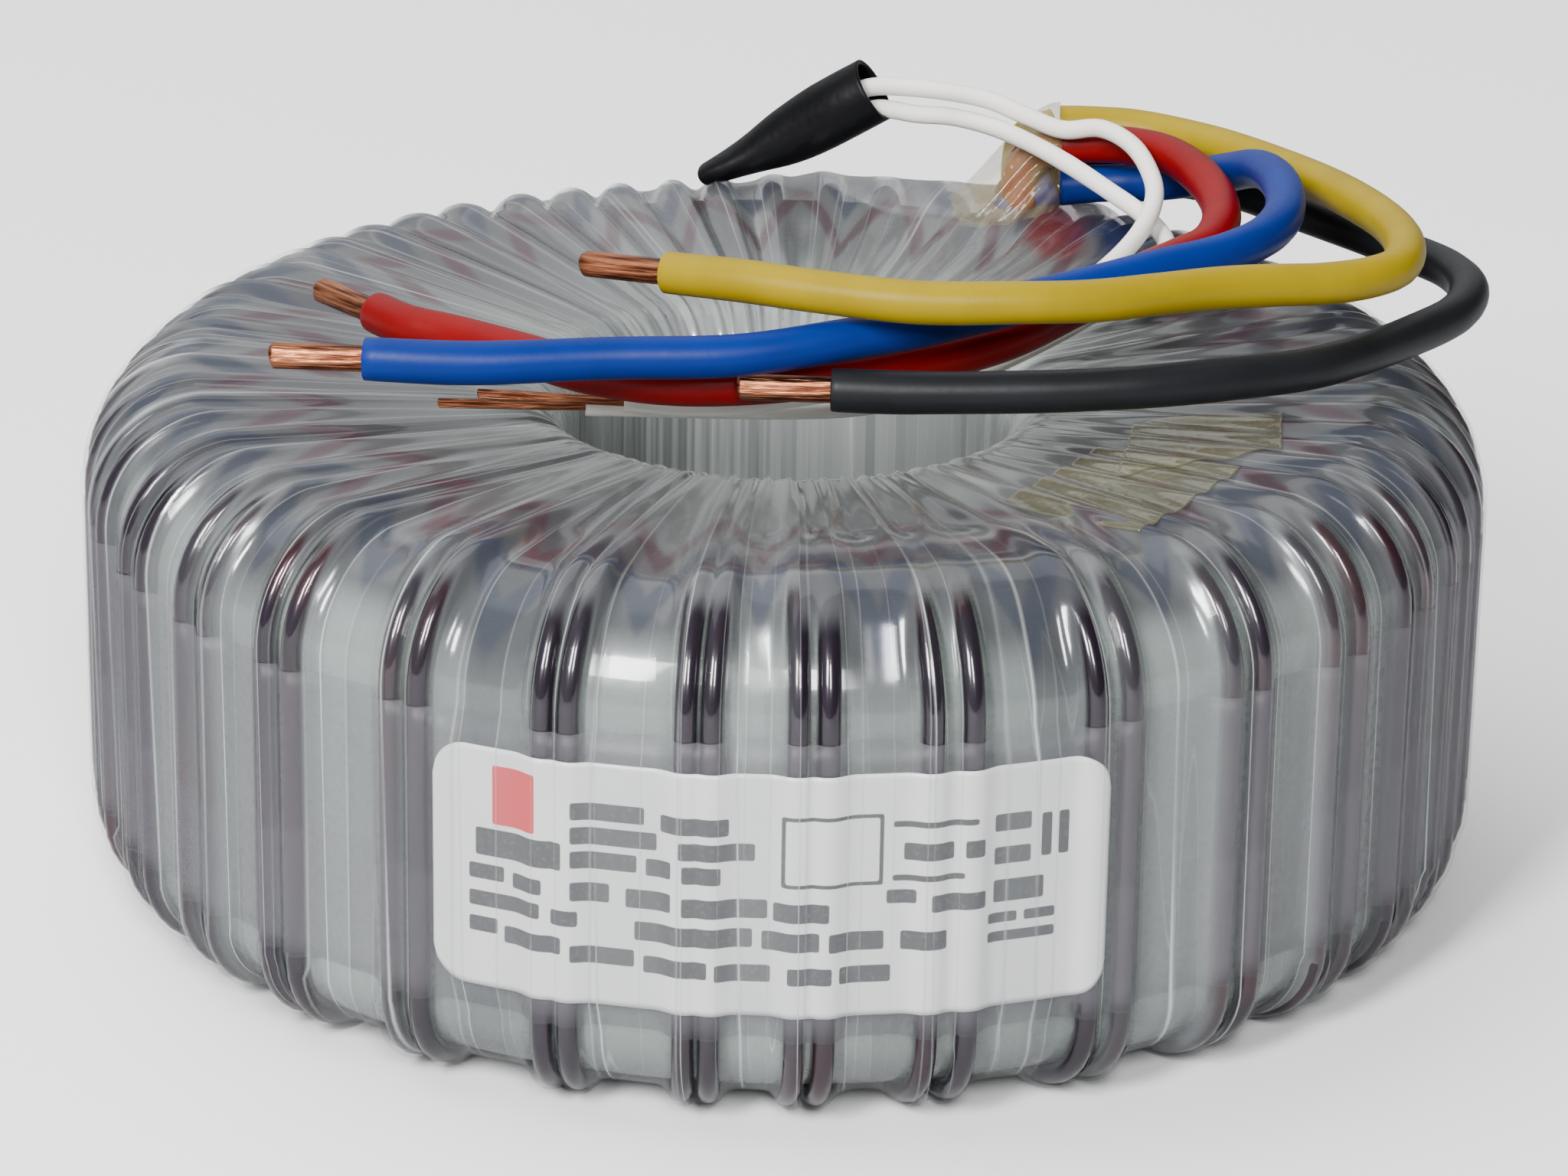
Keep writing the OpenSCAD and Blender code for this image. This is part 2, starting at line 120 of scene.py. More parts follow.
# Where each lead goes. Heights on the routes are above the ring's top.
ROUTES = {
    "red": [
        (34, 57, 9), (38.5, 56, 9.5), (43, 53.5, 10), (47, 48.5, 10.5), (50, 41.5, 10.5),
        (52, 33, 10), (52, 25, 9.5), (50, 18, 9), (46, 12, 9), (40, 4, 9), (33, -6.5, 9),
        (24.5, -19, 9), (15, -27, 9), (2.5, -33, 9), (-10, -35.5, 9), (-20.5, -33, 9),
        (-29, -26.5, 9), (-37, -20.5, 9), (-43, -17, 9), (-47, -12.5, 9),
    ],
    "yellow": [
        (34, 62.5, 10), (38.5, 62.3, 10), (43, 61.5, 10), (48.5, 59, 9.8), (54, 54, 10),
        (59.5, 47.5, 10), (64, 37, 11.2), (67.5, 24.5, 12.8), (70.5, 12, 14), (71.5, 1, 14.8),
        (70, -8.5, 15.3), (66, -14.5, 15.8), (60.5, -18.5, 16.3), (54.5, -21.5, 17),
        (47.5, -26, 18), (40.5, -31.5, 19), (33.5, -35.5, 19.5), (25, -38, 20),
        (14.5, -38.5, 20), (4, -35.5, 20), (-5, -32, 20), (-13.5, -28, 19.5),
    ],
    "blue": [
        (34, 57, 3.5), (38.5, 57, 4), (43.5, 56, 4.5), (49, 53, 6), (54, 46.5, 9),
        (57, 38, 12.2), (58.5, 29, 14), (59, 19.5, 14.8), (58, 10, 15), (55, 2, 15),
        (49.5, -5, 15), (41.5, -11, 15), (32, -17.5, 14.5), (22.5, -24.5, 14.5),
        (14, -31, 14.5), (4.5, -36.5, 14.5), (-6, -40, 14), (-19.5, -41.5, 14),
        (-34, -43.8, 14), (-46, -43, 14),
    ],
    "grey": [
        (34, 62.5, 4.5), (40, 63, 4), (47, 61.5, 3.8), (55, 57, 3.8), (62, 48.5, 4),
        (68.5, 38.5, 4.5), (74.5, 29, 5), (79, 20.5, 5.5), (80.5, 11, 6), (78, 2, 6),
        (71.5, -8, 6.5), (64, -18.5, 7.5), (57.5, -26, 8.5), (49.5, -32, 9.5),
        (40, -36.5, 10), (30, -38.5, 10), (20, -39.5, 10), (12, -39.8, 10), (5, -39.4, 10),
    ],
    "white_a": [
        (7.5, 67.2, 12.3), (10.8, 66.5, 13.4), (15.5, 64.5, 13.9), (20, 62.5, 14),
        (25, 59.5, 13.9), (29.5, 56, 13), (34, 53.3, 12.1), (38.5, 51.5, 12.9), (42, 47.5, 12.3),
        (44, 41.5, 11), (44.5, 34.5, 9.5), (42.5, 27, 7.5), (38, 18.5, 5.5), (32, 9, 4.5),
        (24, -3, 4.5), (15.5, -15, 4.5), (8, -22.5, 4.5), (0, -26, 4.2), (-8, -28.6, 4),
        (-18, -28, 4.2),
    ],
    "white_b": [
        (8.8, 66.9, 9.8), (11.6, 66.2, 10.6), (16, 64, 10.6), (20.5, 62, 10.9),
        (25.5, 57.5, 11), (30, 51.5, 10.8), (34.5, 45.5, 10), (39.2, 40.5, 8.3),
        (43.4, 35.8, 6.6), (45.8, 29.5, 5.3), (44.3, 22.5, 4.2), (39.5, 15, 3.2),
        (33, 5.5, 2.3), (25.5, -4.5, 1.8), (16.5, -15, 1.5), (8.5, -20.5, 1.5),
        (0, -23.5, 2), (-10, -25, 2.5), (-22.5, -26, 2.9),
    ],
}
SLEEVE_ROUTE = [
    (-10.6, 71.3, 0.1), (-7.8, 70.5, 1.6), (-3.2, 70, 4.1), (1.4, 69, 6.9), (6, 67.5, 10.1),
    (10.5, 66.5, 13),
]
SLEEVE_D = 8.2

# Sleeve colour of each heavy lead and its darker shade.
HEAVY_TONES = {
    "red": ((0.16, 0.0004, 0.0015), (0.13, 0.0004, 0.0015)),
    "yellow": ((0.27, 0.19, 0.0004), (0.23, 0.16, 0.0004)),
    "blue": ((0.001, 0.017, 0.155), (0.001, 0.014, 0.13)),
    "grey": ((0.010, 0.011, 0.013), (0.008, 0.0085, 0.0095)),
}
WHITE_TONES = ((0.78, 0.76, 0.70), (0.72, 0.70, 0.64))


# --- Small helpers ---
def ease(t):
    """0 to 1 with a soft start and end."""
    return t * t * (3 - 2 * t)


def ramp(value, start, end):
    """0 where the value is at start or before it, 1 at end or beyond, straight between them."""
    return np.clip((value - start) / (end - start), 0, 1)


def unit(v):
    return v / np.linalg.norm(v, axis=-1, keepdims=True)


def place(radius, height, angle):
    """Points from radius, height and angle."""
    return np.stack(np.broadcast_arrays(radius * np.cos(angle), radius * np.sin(angle), height), -1)


# --- Mesh helpers ---
def make_mesh(name, points, faces, attributes, smooth=True):
    """Object at the origin from points in millimetres and a list of faces.

    attributes maps a name to one value for each point, which the materials read. A value that
    starts again after a full turn is carried on past its period on the faces that close up.
    """
    mesh = bpy.data.meshes.new(name)
    mesh.from_pydata((np.reshape(points, (-1, 3)) * MM).tolist(), [],
                     [[int(i) for i in face] for face in faces])
    corners = np.empty(len(mesh.loops), dtype=np.int32)
    mesh.loops.foreach_get("vertex_index", corners)
    starts = np.empty(len(mesh.polygons), dtype=np.int32)
    mesh.polygons.foreach_get("loop_start", starts)
    first = np.repeat(corners[starts], np.diff(np.append(starts, len(corners))))
    for key, values in attributes.items():
        values = np.asarray(values, float).ravel()
        here = values[corners]
        if key in PERIODS:
            here = here + PERIODS[key] * np.round((values[first] - here) / PERIODS[key])
        layer = mesh.attributes.new(key, "FLOAT", "CORNER")
        layer.data.foreach_set("value", here.astype(np.float32))
    mesh.polygons.foreach_set("use_smooth", [smooth] * len(mesh.polygons))
    mesh.update()
    obj = bpy.data.objects.new(name, mesh)
    bpy.context.scene.collection.objects.link(obj)
    return obj


def make_piece(name, points, faces, attributes, slot, material, node=None, thickness=0.0, grow=0):
    """Mesh of a piece, painted, which rides on the part and stands for a solid.

    A sheet given a thickness grows outward if grow is 1 and inward if it is -1.
    """
    obj = make_mesh(name, points, faces, attributes)
    if thickness:
        solid = obj.modifiers.new("thickness", "SOLIDIFY")
        solid.thickness = thickness * MM
        solid.offset = grow
    obj.data.materials.append(material)
    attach(obj, "root")
    if node:
        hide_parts(node)
    return obj


def grid_faces(rows, columns, close_rows=False, close_columns=False, shift=0):
    """Quads between neighbouring rows and columns of a grid whose points run row by row.

    A closed row joins its last column to its first. Closed columns join the last row to the
    first, "shift" columns on.
    """
    i = np.arange(rows if close_columns else rows - 1)[:, None]
    j = np.arange(columns if close_rows else columns - 1)[None, :]
    over = np.where(i == rows - 1, shift, 0)
    row = i * columns
    next_row = ((i + 1) % rows) * columns
    corners = (row + j, row + (j + 1) % columns,
               next_row + (j + 1 + over) % columns, next_row + (j + over) % columns)
    return np.stack(np.broadcast_arrays(*corners), -1).reshape(-1, 4)


def smooth_route(points, steps):
    """Curve through the points, raised to the ring's top: on each stretch, a cubic whose end
    slopes follow the neighbours."""
    p = np.asarray(points, float)
    p = np.vstack([2 * p[0] - p[1], p, 2 * p[-1] - p[-2]])
    t = (np.arange(steps) / steps)[:, None]
    a, b, c, d = (p[k:len(p) - 3 + k, None] for k in range(4))
    curve = (2 * b + (c - a) * t + (2 * a - 5 * b + 4 * c - d) * t**2
             + (3 * b - a - 3 * c + d) * t**3) / 2
    return np.vstack([curve.reshape(-1, 3), p[-2]]) + (0, 0, HEIGHT)


def path_frames(line, up=(0, 0, 1)):
    """Two directions square to the line at every point, the first as near as may be to up."""
    ahead = unit(np.gradient(line, axis=0))
    up = np.broadcast_to(np.asarray(up, float), ahead.shape)
    first = unit(up - (up * ahead).sum(1, keepdims=True) * ahead)
    return first, np.cross(ahead, first)


def turning(sides):
    """Angles of the points of a ring."""
    return 2 * math.pi * np.arange(sides) / sides


def rings(line, frames, tall, wide, sides):
    """Rings of points along a line, tall along its first direction and wide along the second."""
    first, second = frames
    angle = turning(sides)
    return (line[:, None] + (tall * np.cos(angle)[None])[..., None] * first[:, None]
            + (wide * np.sin(angle)[None])[..., None] * second[:, None])


def tube_faces(rows, sides):
    """Faces of a tube of rings, with a flat face over each of its two ends."""
    last = (rows - 1) * sides
    return grid_faces(rows, sides, close_rows=True).tolist() + [
        list(range(sides))[::-1], list(range(last, last + sides))]


# --- The ring's section ---
def arc_points(centre, radius, start, end, count):
    """Points and outward directions on an arc, angles in degrees, the end left out."""
    a = np.radians(start + (end - start) * np.arange(count) / count)
    out = np.stack([np.cos(a), np.sin(a)], 1)
    return np.asarray(centre) + radius * out, out


def straight_points(start, end, count):
    """Points on a straight and the direction to its right, the end left out."""
    start, end = np.asarray(start, float), np.asarray(end, float)
    t = (np.arange(count) / count)[:, None]
    way = unit(end - start)
    return start + t * (end - start), np.repeat([[way[1], -way[0]]], count, 0)


def ring_section(counts):
    """Section of the ring through its axis: radius, height and outward direction, all round.

    It goes up the outside, over the shoulder and the dished top, down the hole and back along
    the underside. counts are the rows on each of its eight stretches.
    """
    low_out = OUTER_R - SHOULDER_BOTTOM_R
    high_out = HEIGHT - SHOULDER_TOP_R
    hole_top = HEIGHT - DISH - RIM_R
    hole_low = DISH + RIM_R
    stretches = [
        (straight_points, (OUTER_R, SHOULDER_BOTTOM_R), (OUTER_R, high_out)),
        (arc_points, (TOP_OUT, high_out), SHOULDER_TOP_R, 0, 90),
        (straight_points, (TOP_OUT, HEIGHT), (TOP_IN, HEIGHT - DISH)),
        (arc_points, (TOP_IN, hole_top), RIM_R, 90, 180),
        (straight_points, (HOLE_R, hole_top), (HOLE_R, hole_low)),
        (arc_points, (TOP_IN, hole_low), RIM_R, 180, 270),
        (straight_points, (TOP_IN, DISH), (low_out, 0)),
        (arc_points, (low_out, SHOULDER_BOTTOM_R), SHOULDER_BOTTOM_R, 270, 360),
    ]
    pieces = [draw(*given, count) for (draw, *given), count in zip(stretches, counts)]
    points, out = (np.concatenate(part) for part in zip(*pieces))
    step = np.linalg.norm(np.roll(points, -1, 0) - points, axis=1)
    along = np.concatenate([[0], np.cumsum(step)[:-1]])
    first_low_row = sum(counts[:5])
    along = (along - along[first_low_row]) % PERIODS["along"]
    return points, out, along, first_low_row


def advance(points, first_low_row):
    """How far round, in pitches, a wire has moved on at each row: none on the top, and from the
    hole to the outside of the underside one whole pitch, straight across."""
    r = points[:, 0]
    r_in, r_out = r[first_low_row:].min(), r.max()
    chord = np.array([r_out * math.cos(PITCH) - r_in, r_out * math.sin(PITCH)])
    t = ramp(r, r_in, r_out)
    moved = np.arctan2(t * chord[1], r_in + t * chord[0]) / PITCH
    moved[:first_low_row] = 0
    return moved


def between_pairs(values, turn):
    """Value at a place counted in pitches, blended from those of the two pairs beside it."""
    turn = np.asarray(turn, float)
    low = np.floor(turn).astype(int)
    part = ease(turn - low)
    return values[low % PAIRS] * (1 - part) + values[(low + 1) % PAIRS] * part


def pair_angle(turn, radius):
    """Angle of a place counted in pitches from the first pair, with the pairs' wander, which
    dies away from the outside to the hole."""
    drift = between_pairs(WANDER, turn) * ramp(radius, TOP_IN, TOP_OUT)
    return FIRST_PAIR + np.asarray(turn, float) * PITCH + drift


def pair_spread(turn, radius):
    """Half the distance between the two wires of a pair."""
    return np.minimum(between_pairs(SPREAD, turn), radius * PITCH / 4)


# How the film lies over the wires: how far its circle stands off a wire, how steeply it leaves
# it, how deep it sinks between pairs and between a pair's wires, the gap over which it does so,
# and how sharp its valleys are.
HUG_OUTER, HUG_INNER = 0.25, 0.75
LEAN_OUTER, LEAN_INNER = 50.0, 36.0
VALLEY_DEPTH = 2.35
PAIR_VALLEY = -1.3
GAP_REACH = 2.6
SHARPNESS = 2.6


def rib_drop(turn, radius):
    """How far the film lies below the wires' crests, in millimetres.

    Round each wire it is a circle a little larger than the wire, which falls away beside it in a
    straight web. A soft maximum blends the two webs between a pair's wires, and the webs with
    the floor between two pairs. The floor rises as the pairs close up towards the hole, where
    the webs lean less and the ribs become soft pleats.
    """
    nearest = np.round(turn)
    across = (pair_angle(turn, radius) - pair_angle(nearest, radius)) * radius
    half = pair_spread(nearest, radius)
    outer = ramp(radius, 58, 78)
    inner = ramp(radius, 34, 26)
    gap = np.maximum(radius * PITCH - 2 * (half + WIRE_R), 0)
    floor = -VALLEY_DEPTH * (1 - np.exp(-gap / GAP_REACH)) * (0.5 + 0.5 * outer)
    floor = np.where(np.abs(across) < half, PAIR_VALLEY, floor)
    hug = WIRE_R + HUG_INNER + (HUG_OUTER - HUG_INNER) * outer
    lean = np.radians(LEAN_INNER + (LEAN_OUTER - LEAN_INNER) * outer)
    tangent = hug * np.sin(lean)
    webs = []
    for wire in (-half, half):
        x = np.abs(across - wire)
        on_wire = -(hug - np.sqrt(np.maximum(hug**2 - np.minimum(x, tangent)**2, 0)))
        webs.append(on_wire - np.maximum(x - tangent, 0) * np.tan(lean))
    height = np.logaddexp(webs[0] * SHARPNESS, webs[1] * SHARPNESS)
    height = np.logaddexp(height, floor * SHARPNESS) / SHARPNESS
    return np.minimum(height, 0.0) * (1 - 0.6 * inner)


def label_cover(turn, height):
    """1 where the stiff label lies under the film, falling to 0 four millimetres outside."""
    low, high = heights("rating_label")
    angle = pair_angle(turn, OUTER_R)
    beside = np.maximum(LABEL_START - angle, angle - LABEL_END) * OUTER_R
    beyond = np.maximum(low - height, height - high)
    return 1 - ease(ramp(np.maximum(beside, beyond), 0, 4))


def film_level(turn, radius, height):
    """How far the film lies below the wires' crests. The label holds it out between them."""
    return rib_drop(turn, radius) * (1 - 0.6 * label_cover(turn, height))


def uneven_turns(per_pitch):
    """Places round the ring, closer together near each pair of wires."""
    s = np.arange(per_pitch) / per_pitch
    s = s - 0.055 * np.sin(2 * math.pi * s)
    return (np.arange(-PAIRS // 2, PAIRS // 2)[:, None] + s).ravel()


def ring_skin(counts, per_pitch, inset, level=None, relief=None):
    """Skin right round the ring: section + outward * (-inset + level + relief), wound one pitch
    on for every time round the section. Returns points, faces and each point's attributes."""
    section, out, along, low_row = ring_section(counts)
    moved = advance(section, low_row)[:, None]
    turns = uneven_turns(per_pitch)[None, :] + moved
    radius, height, along = (np.broadcast_to(v[:, None], turns.shape)
                             for v in (section[:, 0], section[:, 1], along))
    rise = level(turns - moved, radius, height) if level else 0 * radius
    lift = rise - inset
    if relief:
        lift = lift + relief(turns, radius, height, along, rise)
    points = place(radius + out[:, :1] * lift, height + out[:, 1:] * lift,
                   pair_angle(turns, radius))
    faces = grid_faces(*turns.shape, close_rows=True, close_columns=True, shift=per_pitch)
    return points, faces[:, ::-1], {"turn": turns, "along": along, "rise": rise, "radius": radius}


# --- Shader helpers ---
class Sheet:
    """A node tree that is filled by short calls."""

    def __init__(self, tree):
        self.tree = tree

    def join(self, socket, value):
        """Joins another socket to this one, or sets it. A colour may be given without alpha."""
        if isinstance(value, bpy.types.NodeSocket):
            self.tree.links.new(value, socket)
        elif socket.type == "RGBA":
            socket.default_value = (*value, 1)
        else:
            socket.default_value = value

    def add(self, kind, inputs=None, **settings):
        """A node with its settings, its inputs set to numbers or joined to sockets."""
        node = self.tree.nodes.new(kind)
        for key, value in settings.items():
            setattr(node, key, value)
        for key, value in (inputs or {}).items():
            self.join(node.inputs[key], value)
        return node

    def math(self, operation, a, b=0.0, c=0.0):
        return self.add("ShaderNodeMath", {0: a, 1: b, 2: c}, operation=operation).outputs[0]

    def times(self, a, b, plus=0.0):
        """a * b + plus."""
        return self.math("MULTIPLY_ADD", a, b, plus)

    def flip(self, value):
        return self.math("SUBTRACT", 1.0, value)

    def span(self, value, low, high, out_low=0.0, out_high=1.0):
        """Maps low..high to out_low..out_high, smoothly and clamped."""
        node = self.add("ShaderNodeMapRange", {
            "Value": value, "From Min": low, "From Max": high,
            "To Min": out_low, "To Max": out_high}, interpolation_type="SMOOTHSTEP")
        return node.outputs[0]

    def blend(self, factor, a, b):
        """Colour a where factor is 0 and b where it is 1."""
        return self.add("ShaderNodeMix", {0: factor, 6: a, 7: b}, data_type="RGBA").outputs[2]

    def attribute(self, name):
        return self.add("ShaderNodeAttribute", attribute_name=name).outputs["Fac"]

    def place_at(self):
        """Place on the piece, in metres."""
        return self.add("ShaderNodeTexCoord").outputs["Object"]

    def facing(self, blend):
        """0 where the face looks at the eye, near 1 where it is seen aslant."""
        return self.add("ShaderNodeLayerWeight", {"Blend": blend}).outputs["Facing"]

    def front_only(self, cover):
        """Cover of a thin sheet's outer face alone, so that its two faces count once."""
        behind = self.add("ShaderNodeNewGeometry").outputs["Backfacing"]
        return self.times(cover, self.flip(behind))

    def vector(self, x=0.0, y=0.0, z=0.0):
        return self.add("ShaderNodeCombineXYZ", {0: x, 1: y, 2: z}).outputs[0]

    def combine(self, operation, a, b=(0.0, 0.0, 0.0)):
        """Two vectors combined."""
        return self.add("ShaderNodeVectorMath", {0: a, 1: b}, operation=operation).outputs

    def noise(self, vector, detail=2.0, scale=1.0):
        """Noise on a vector that is already in its own units."""
        node = self.add("ShaderNodeTexNoise", {"Vector": vector, "Scale": scale, "Detail": detail})
        return node.outputs[0]

    def bump(self, height, distance, strength=1.0):
        """Normal from a height in millimetres."""
        node = self.add("ShaderNodeBump", {
            "Height": height, "Distance": distance * MM, "Strength": strength})
        return node.outputs[0]

    def group(self, tree, *values):
        """The outputs of a node group placed here, with its inputs in their order."""
        return self.add("ShaderNodeGroup", dict(enumerate(values)), node_tree=tree).outputs

    def paint(self, values):
        """Sets or joins the sockets of the material's shader."""
        for key, value in values.items():
            self.join(self.tree.nodes["Principled BSDF"].inputs[key], value)
        return self.material


def new_material(name):
    """Sheet of a new material with one Principled shader."""
    material = bpy.data.materials.new(name)
    material.use_nodes = True
    sheet = Sheet(material.node_tree)
    sheet.material = material
    return sheet


def new_group(name, inputs, outputs):
    """Empty node group of float inputs and outputs: its sheet, what it is given, and where its
    results are put."""
    tree = bpy.data.node_groups.new(name, "ShaderNodeTree")
    for way, keys in (("INPUT", inputs), ("OUTPUT", outputs)):
        for key in keys:
            tree.interface.new_socket(key, in_out=way, socket_type="NodeSocketFloat")
    s = Sheet(tree)
    given = s.add("NodeGroupInput").outputs
    return s, [given[key] for key in inputs], s.add("NodeGroupOutput").inputs


# --- Shader groups ---
def make_tape_turns_group():
    """Edges and shades of overlapping turns of film.

    Turns are counted as turn * Per Pitch + along * Skew, with a slow unevenness round the ring.
    The edge is a thin line where the count passes a whole number. Each turn has its own shade,
    and Step climbs from 0 to 1 across it.
    """
    inputs = ("Turn", "Along", "Per Pitch", "Skew", "Width", "Seed")
    s, given, put = new_group("tape_turns", inputs, ("Edge", "Shade", "Step"))
    turn, along, per_pitch, skew, width, seed = given
    angle = s.times(turn, PITCH)
    uneven = s.noise(s.vector(s.times(s.math("COSINE", angle), 7.0),
                              s.times(s.math("SINE", angle), 7.0), seed))
    count = s.times(along, s.times(skew, s.times(uneven, 3.0, -0.5)), s.times(turn, per_pitch))
    count = s.times(uneven, 2.2, count)
    part = s.math("FRACT", count)
    number = s.math("FLOORED_MODULO", s.math("FLOOR", count), s.times(per_pitch, PAIRS))
    near = s.math("MINIMUM", part, s.flip(part))
    edge = s.math("MAXIMUM", s.flip(s.math("DIVIDE", near, width)), 0.0)
    dice = s.add("ShaderNodeTexWhiteNoise", {"Vector": s.vector(number, seed, 1.0)},
                 noise_dimensions="3D")
    fade = s.noise(s.vector(s.times(number, 7.31), s.times(along, 0.02), seed), 1.0)
    s.join(put["Edge"], s.times(edge, s.span(fade, 0.35, 0.65, 0.3, 1.0)))
    s.join(put["Shade"], dice.outputs[0])
    s.join(put["Step"], part)
    return s.tree


def make_grain_group():
    """Fine speckle and slow patches, for surfaces that have been handled."""
    s, scales, put = new_group("grain", ("Fine", "Coarse"), ("Speckle", "Patches"))
    mapping = s.add("ShaderNodeMapping", {"Vector": s.place_at(), "Scale": [1 / MM] * 3})
    for scale, name in zip(scales, ("Speckle", "Patches")):
        s.join(put[name], s.noise(mapping.outputs[0], 3.0, scale))
    return s.tree


def make_bar_group():
    """1 inside a rounded bar and 0 outside, from a place in millimetres."""
    s, given, put = new_group("bar", ("X", "Z", "Left", "Right", "Low", "High"), ("Mask",))
    x, z, left, right, low, high = given
    inside = s.math("SUBTRACT", x, left)
    for more, less in ((right, x), (z, low), (high, z)):
        inside = s.math("SMOOTH_MIN", inside, s.math("SUBTRACT", more, less), 0.5)
    s.join(put["Mask"], s.span(inside, -0.06, 0.06))
    return s.tree


TAPE_TURNS = make_tape_turns_group()
GRAIN = make_grain_group()
BAR = make_bar_group()


# --- Materials ---
# Colour that the wires below give the film in pointed lobes over each pair, from a start to an
# end as radii.
LOBES = (
    (65.5, 70.5, (0.085, 0.038, 0.052)),
    (76.0, 82.0, (0.045, 0.055, 0.085)),
)
LOBE_EDGE = 1.2
LOBE_POINT = 30.0

# Painted reflections of the red and blue leads, tinted into the film just in front of where they
# run over it beside their exit: middle and reach in millimetres, and colour.
LEAD_REFLECTION_TINTS = (
    ((33.6, 48.5, 61.5), (4.6, 9.0, 8.0), (0.15, 0.022, 0.028)),
    ((41.8, 49.5, 61.5), (5.0, 7.5, 8.0), (0.025, 0.035, 0.11)),
)

# Radii between which the film turns from its look on the top to its look in the hole, and reach
# at which many turns begin to cover each other.
HOLE_LOOK = (34.0, 27.0)
COVERED = (85.5, 80.0)
# Levels of the film, below the crests, between which it counts as crest or as valley.
CREST = (-1.5, -0.2)
VALLEY = (-0.4, -1.7)
# Turns of film and of insulation: how many a pitch, how askew, how wide their edge is, and seed.
WIDE_TURNS = (2.0, 0.002, 0.026, 3.0)
FINE_TURNS = (3.5, 0.0, 0.035, 9.0)
INSULATION_TURNS = (1.5, 0.01, 0.02, 5.0)


def film_material():
    """Clear stretched film: see-through on the side, silvery where many turns cover each other
    on the top and in the hole, with thin bright overlap lines and strips of uneven shade. The
    wires below tint it in two pointed lobes over each pair, plum further in and blue further
    out, and painted reflections of the red and blue leads tint it beside their exit."""
    s = new_material("clear_film")
    turn, along, rise, radius = (s.attribute(n) for n in ("turn", "along", "rise", "radius"))
    wide, fine = (s.group(TAPE_TURNS, turn, along, *turns) for turns in (WIDE_TURNS, FINE_TURNS))
    shade = s.times(wide["Shade"], 0.6, s.times(fine["Shade"], 0.4))
    lines = s.math("MAXIMUM", wide["Edge"], s.times(fine["Edge"], 0.55))
    here = s.place_at()
    height_here = s.add("ShaderNodeSeparateXYZ", {0: here}).outputs["Z"]
    in_hole = s.span(radius, *HOLE_LOOK)
    crest = s.span(rise, *CREST)
    uneven = s.times(wide["Shade"], 5.0, radius)
    many = s.times(s.span(s.times(crest, 7.0, uneven), *COVERED),
                   s.span(height_here, 0.006, 0.020, 0.25, 1.0))
    many = s.math("MAXIMUM", many, in_hole)
    many_on_top = s.math("SUBTRACT", many, in_hole)
    # How much it covers, on the side and on the top.
    side = s.times(s.times(shade, 0.24, -0.04), s.times(crest, -0.65, 1.0))
    side = s.times(s.span(rise, *VALLEY), 0.12, side)
    side = s.times(s.math("POWER", s.facing(0.35), 2.0), 0.20, side)
    side = s.times(lines, 0.55, s.math("MAXIMUM", side, 0.0))
    top = s.times(in_hole, 0.16, s.times(shade, 0.12, 0.78))
    alpha = s.times(many, s.math("SUBTRACT", top, side), side)
    height = s.times(wide["Step"], 0.22, s.times(fine["Step"], -0.12))
    height = s.times(height, s.span(radius, 24.0, 60.0, 0.08, 1.0))
    # Its colours.
    clear = s.blend(shade, (0.14, 0.145, 0.16), (0.46, 0.50, 0.50))
    silvery = s.blend(shade, (0.08, 0.083, 0.092), (0.155, 0.162, 0.165))
    milky = s.blend(shade, (0.12, 0.13, 0.13), (0.25, 0.27, 0.26))
    silvery = s.blend(s.span(radius, 58.0, 32.0), silvery, milky)
    from_pair = s.math("PINGPONG", turn, 0.5)
    lobe = s.times(from_pair, -LOBE_POINT, s.math("ADD", uneven, LOBE_POINT / 2))
    for start, end, tone in LOBES:
        inside = s.times(s.span(lobe, start - LOBE_EDGE, start + LOBE_EDGE),
                         s.span(lobe, end + LOBE_EDGE, end - LOBE_EDGE))
        silvery = s.blend(s.times(inside, 0.6), silvery, tone)
    # Painted reflections of the red and blue leads, blended into the film's colour beside their
    # exit.
    for middle, reach, tone in LEAD_REFLECTION_TINTS:
        apart = s.combine("SUBTRACT", here, [m * MM for m in middle])[0]
        apart = s.combine("DIVIDE", apart, [r * MM for r in reach])[0]
        apart = s.times(shade, 0.5, s.combine("LENGTH", apart)["Value"])
        silvery = s.blend(s.span(apart, 1.35, 0.75, 0.0, 0.8), silvery, tone)
    line_tone = s.blend(many, (0.72, 0.76, 0.76), (0.36, 0.37, 0.37))
    return s.paint({
        "Base Color": s.blend(lines, s.blend(many, clear, silvery), line_tone),
        "Metallic": s.times(many_on_top, 0.42),
        "Alpha": s.math("MINIMUM", alpha, 1.0),
        "Roughness": s.times(wide["Shade"], 0.12, 0.13),
        "IOR": 1.6,
        "Coat Weight": s.times(many_on_top, -0.75, 1.0),
        "Coat Roughness": 0.04,
        "Normal": s.bump(height, 1.0),
    })


def underlayer_material():
    """Pale insulation film between the windings, with the edges of its own turns."""
    s = new_material("pale_insulation")
    turns = s.group(TAPE_TURNS, s.attribute("turn"), s.attribute("along"), *INSULATION_TURNS)
    speckle, patches = s.group(GRAIN, 0.8, 0.06)
    tint = s.blend(patches, (0.105, 0.13, 0.12), (0.19, 0.22, 0.205))
    tint = s.blend(s.times(turns["Shade"], 0.5), tint, (0.28, 0.31, 0.295))
    return s.paint({
        "Base Color": s.blend(s.times(turns["Edge"], 0.5), tint, (0.7, 0.74, 0.73)),
        "Roughness": s.times(speckle, 0.2, 0.18),
        "Coat Weight": 1.0,
        "Coat Roughness": 0.07,
        "Normal": s.bump(s.times(turns["Step"], 0.25, s.times(patches, 1.6)), 1.0, 0.6),
    })


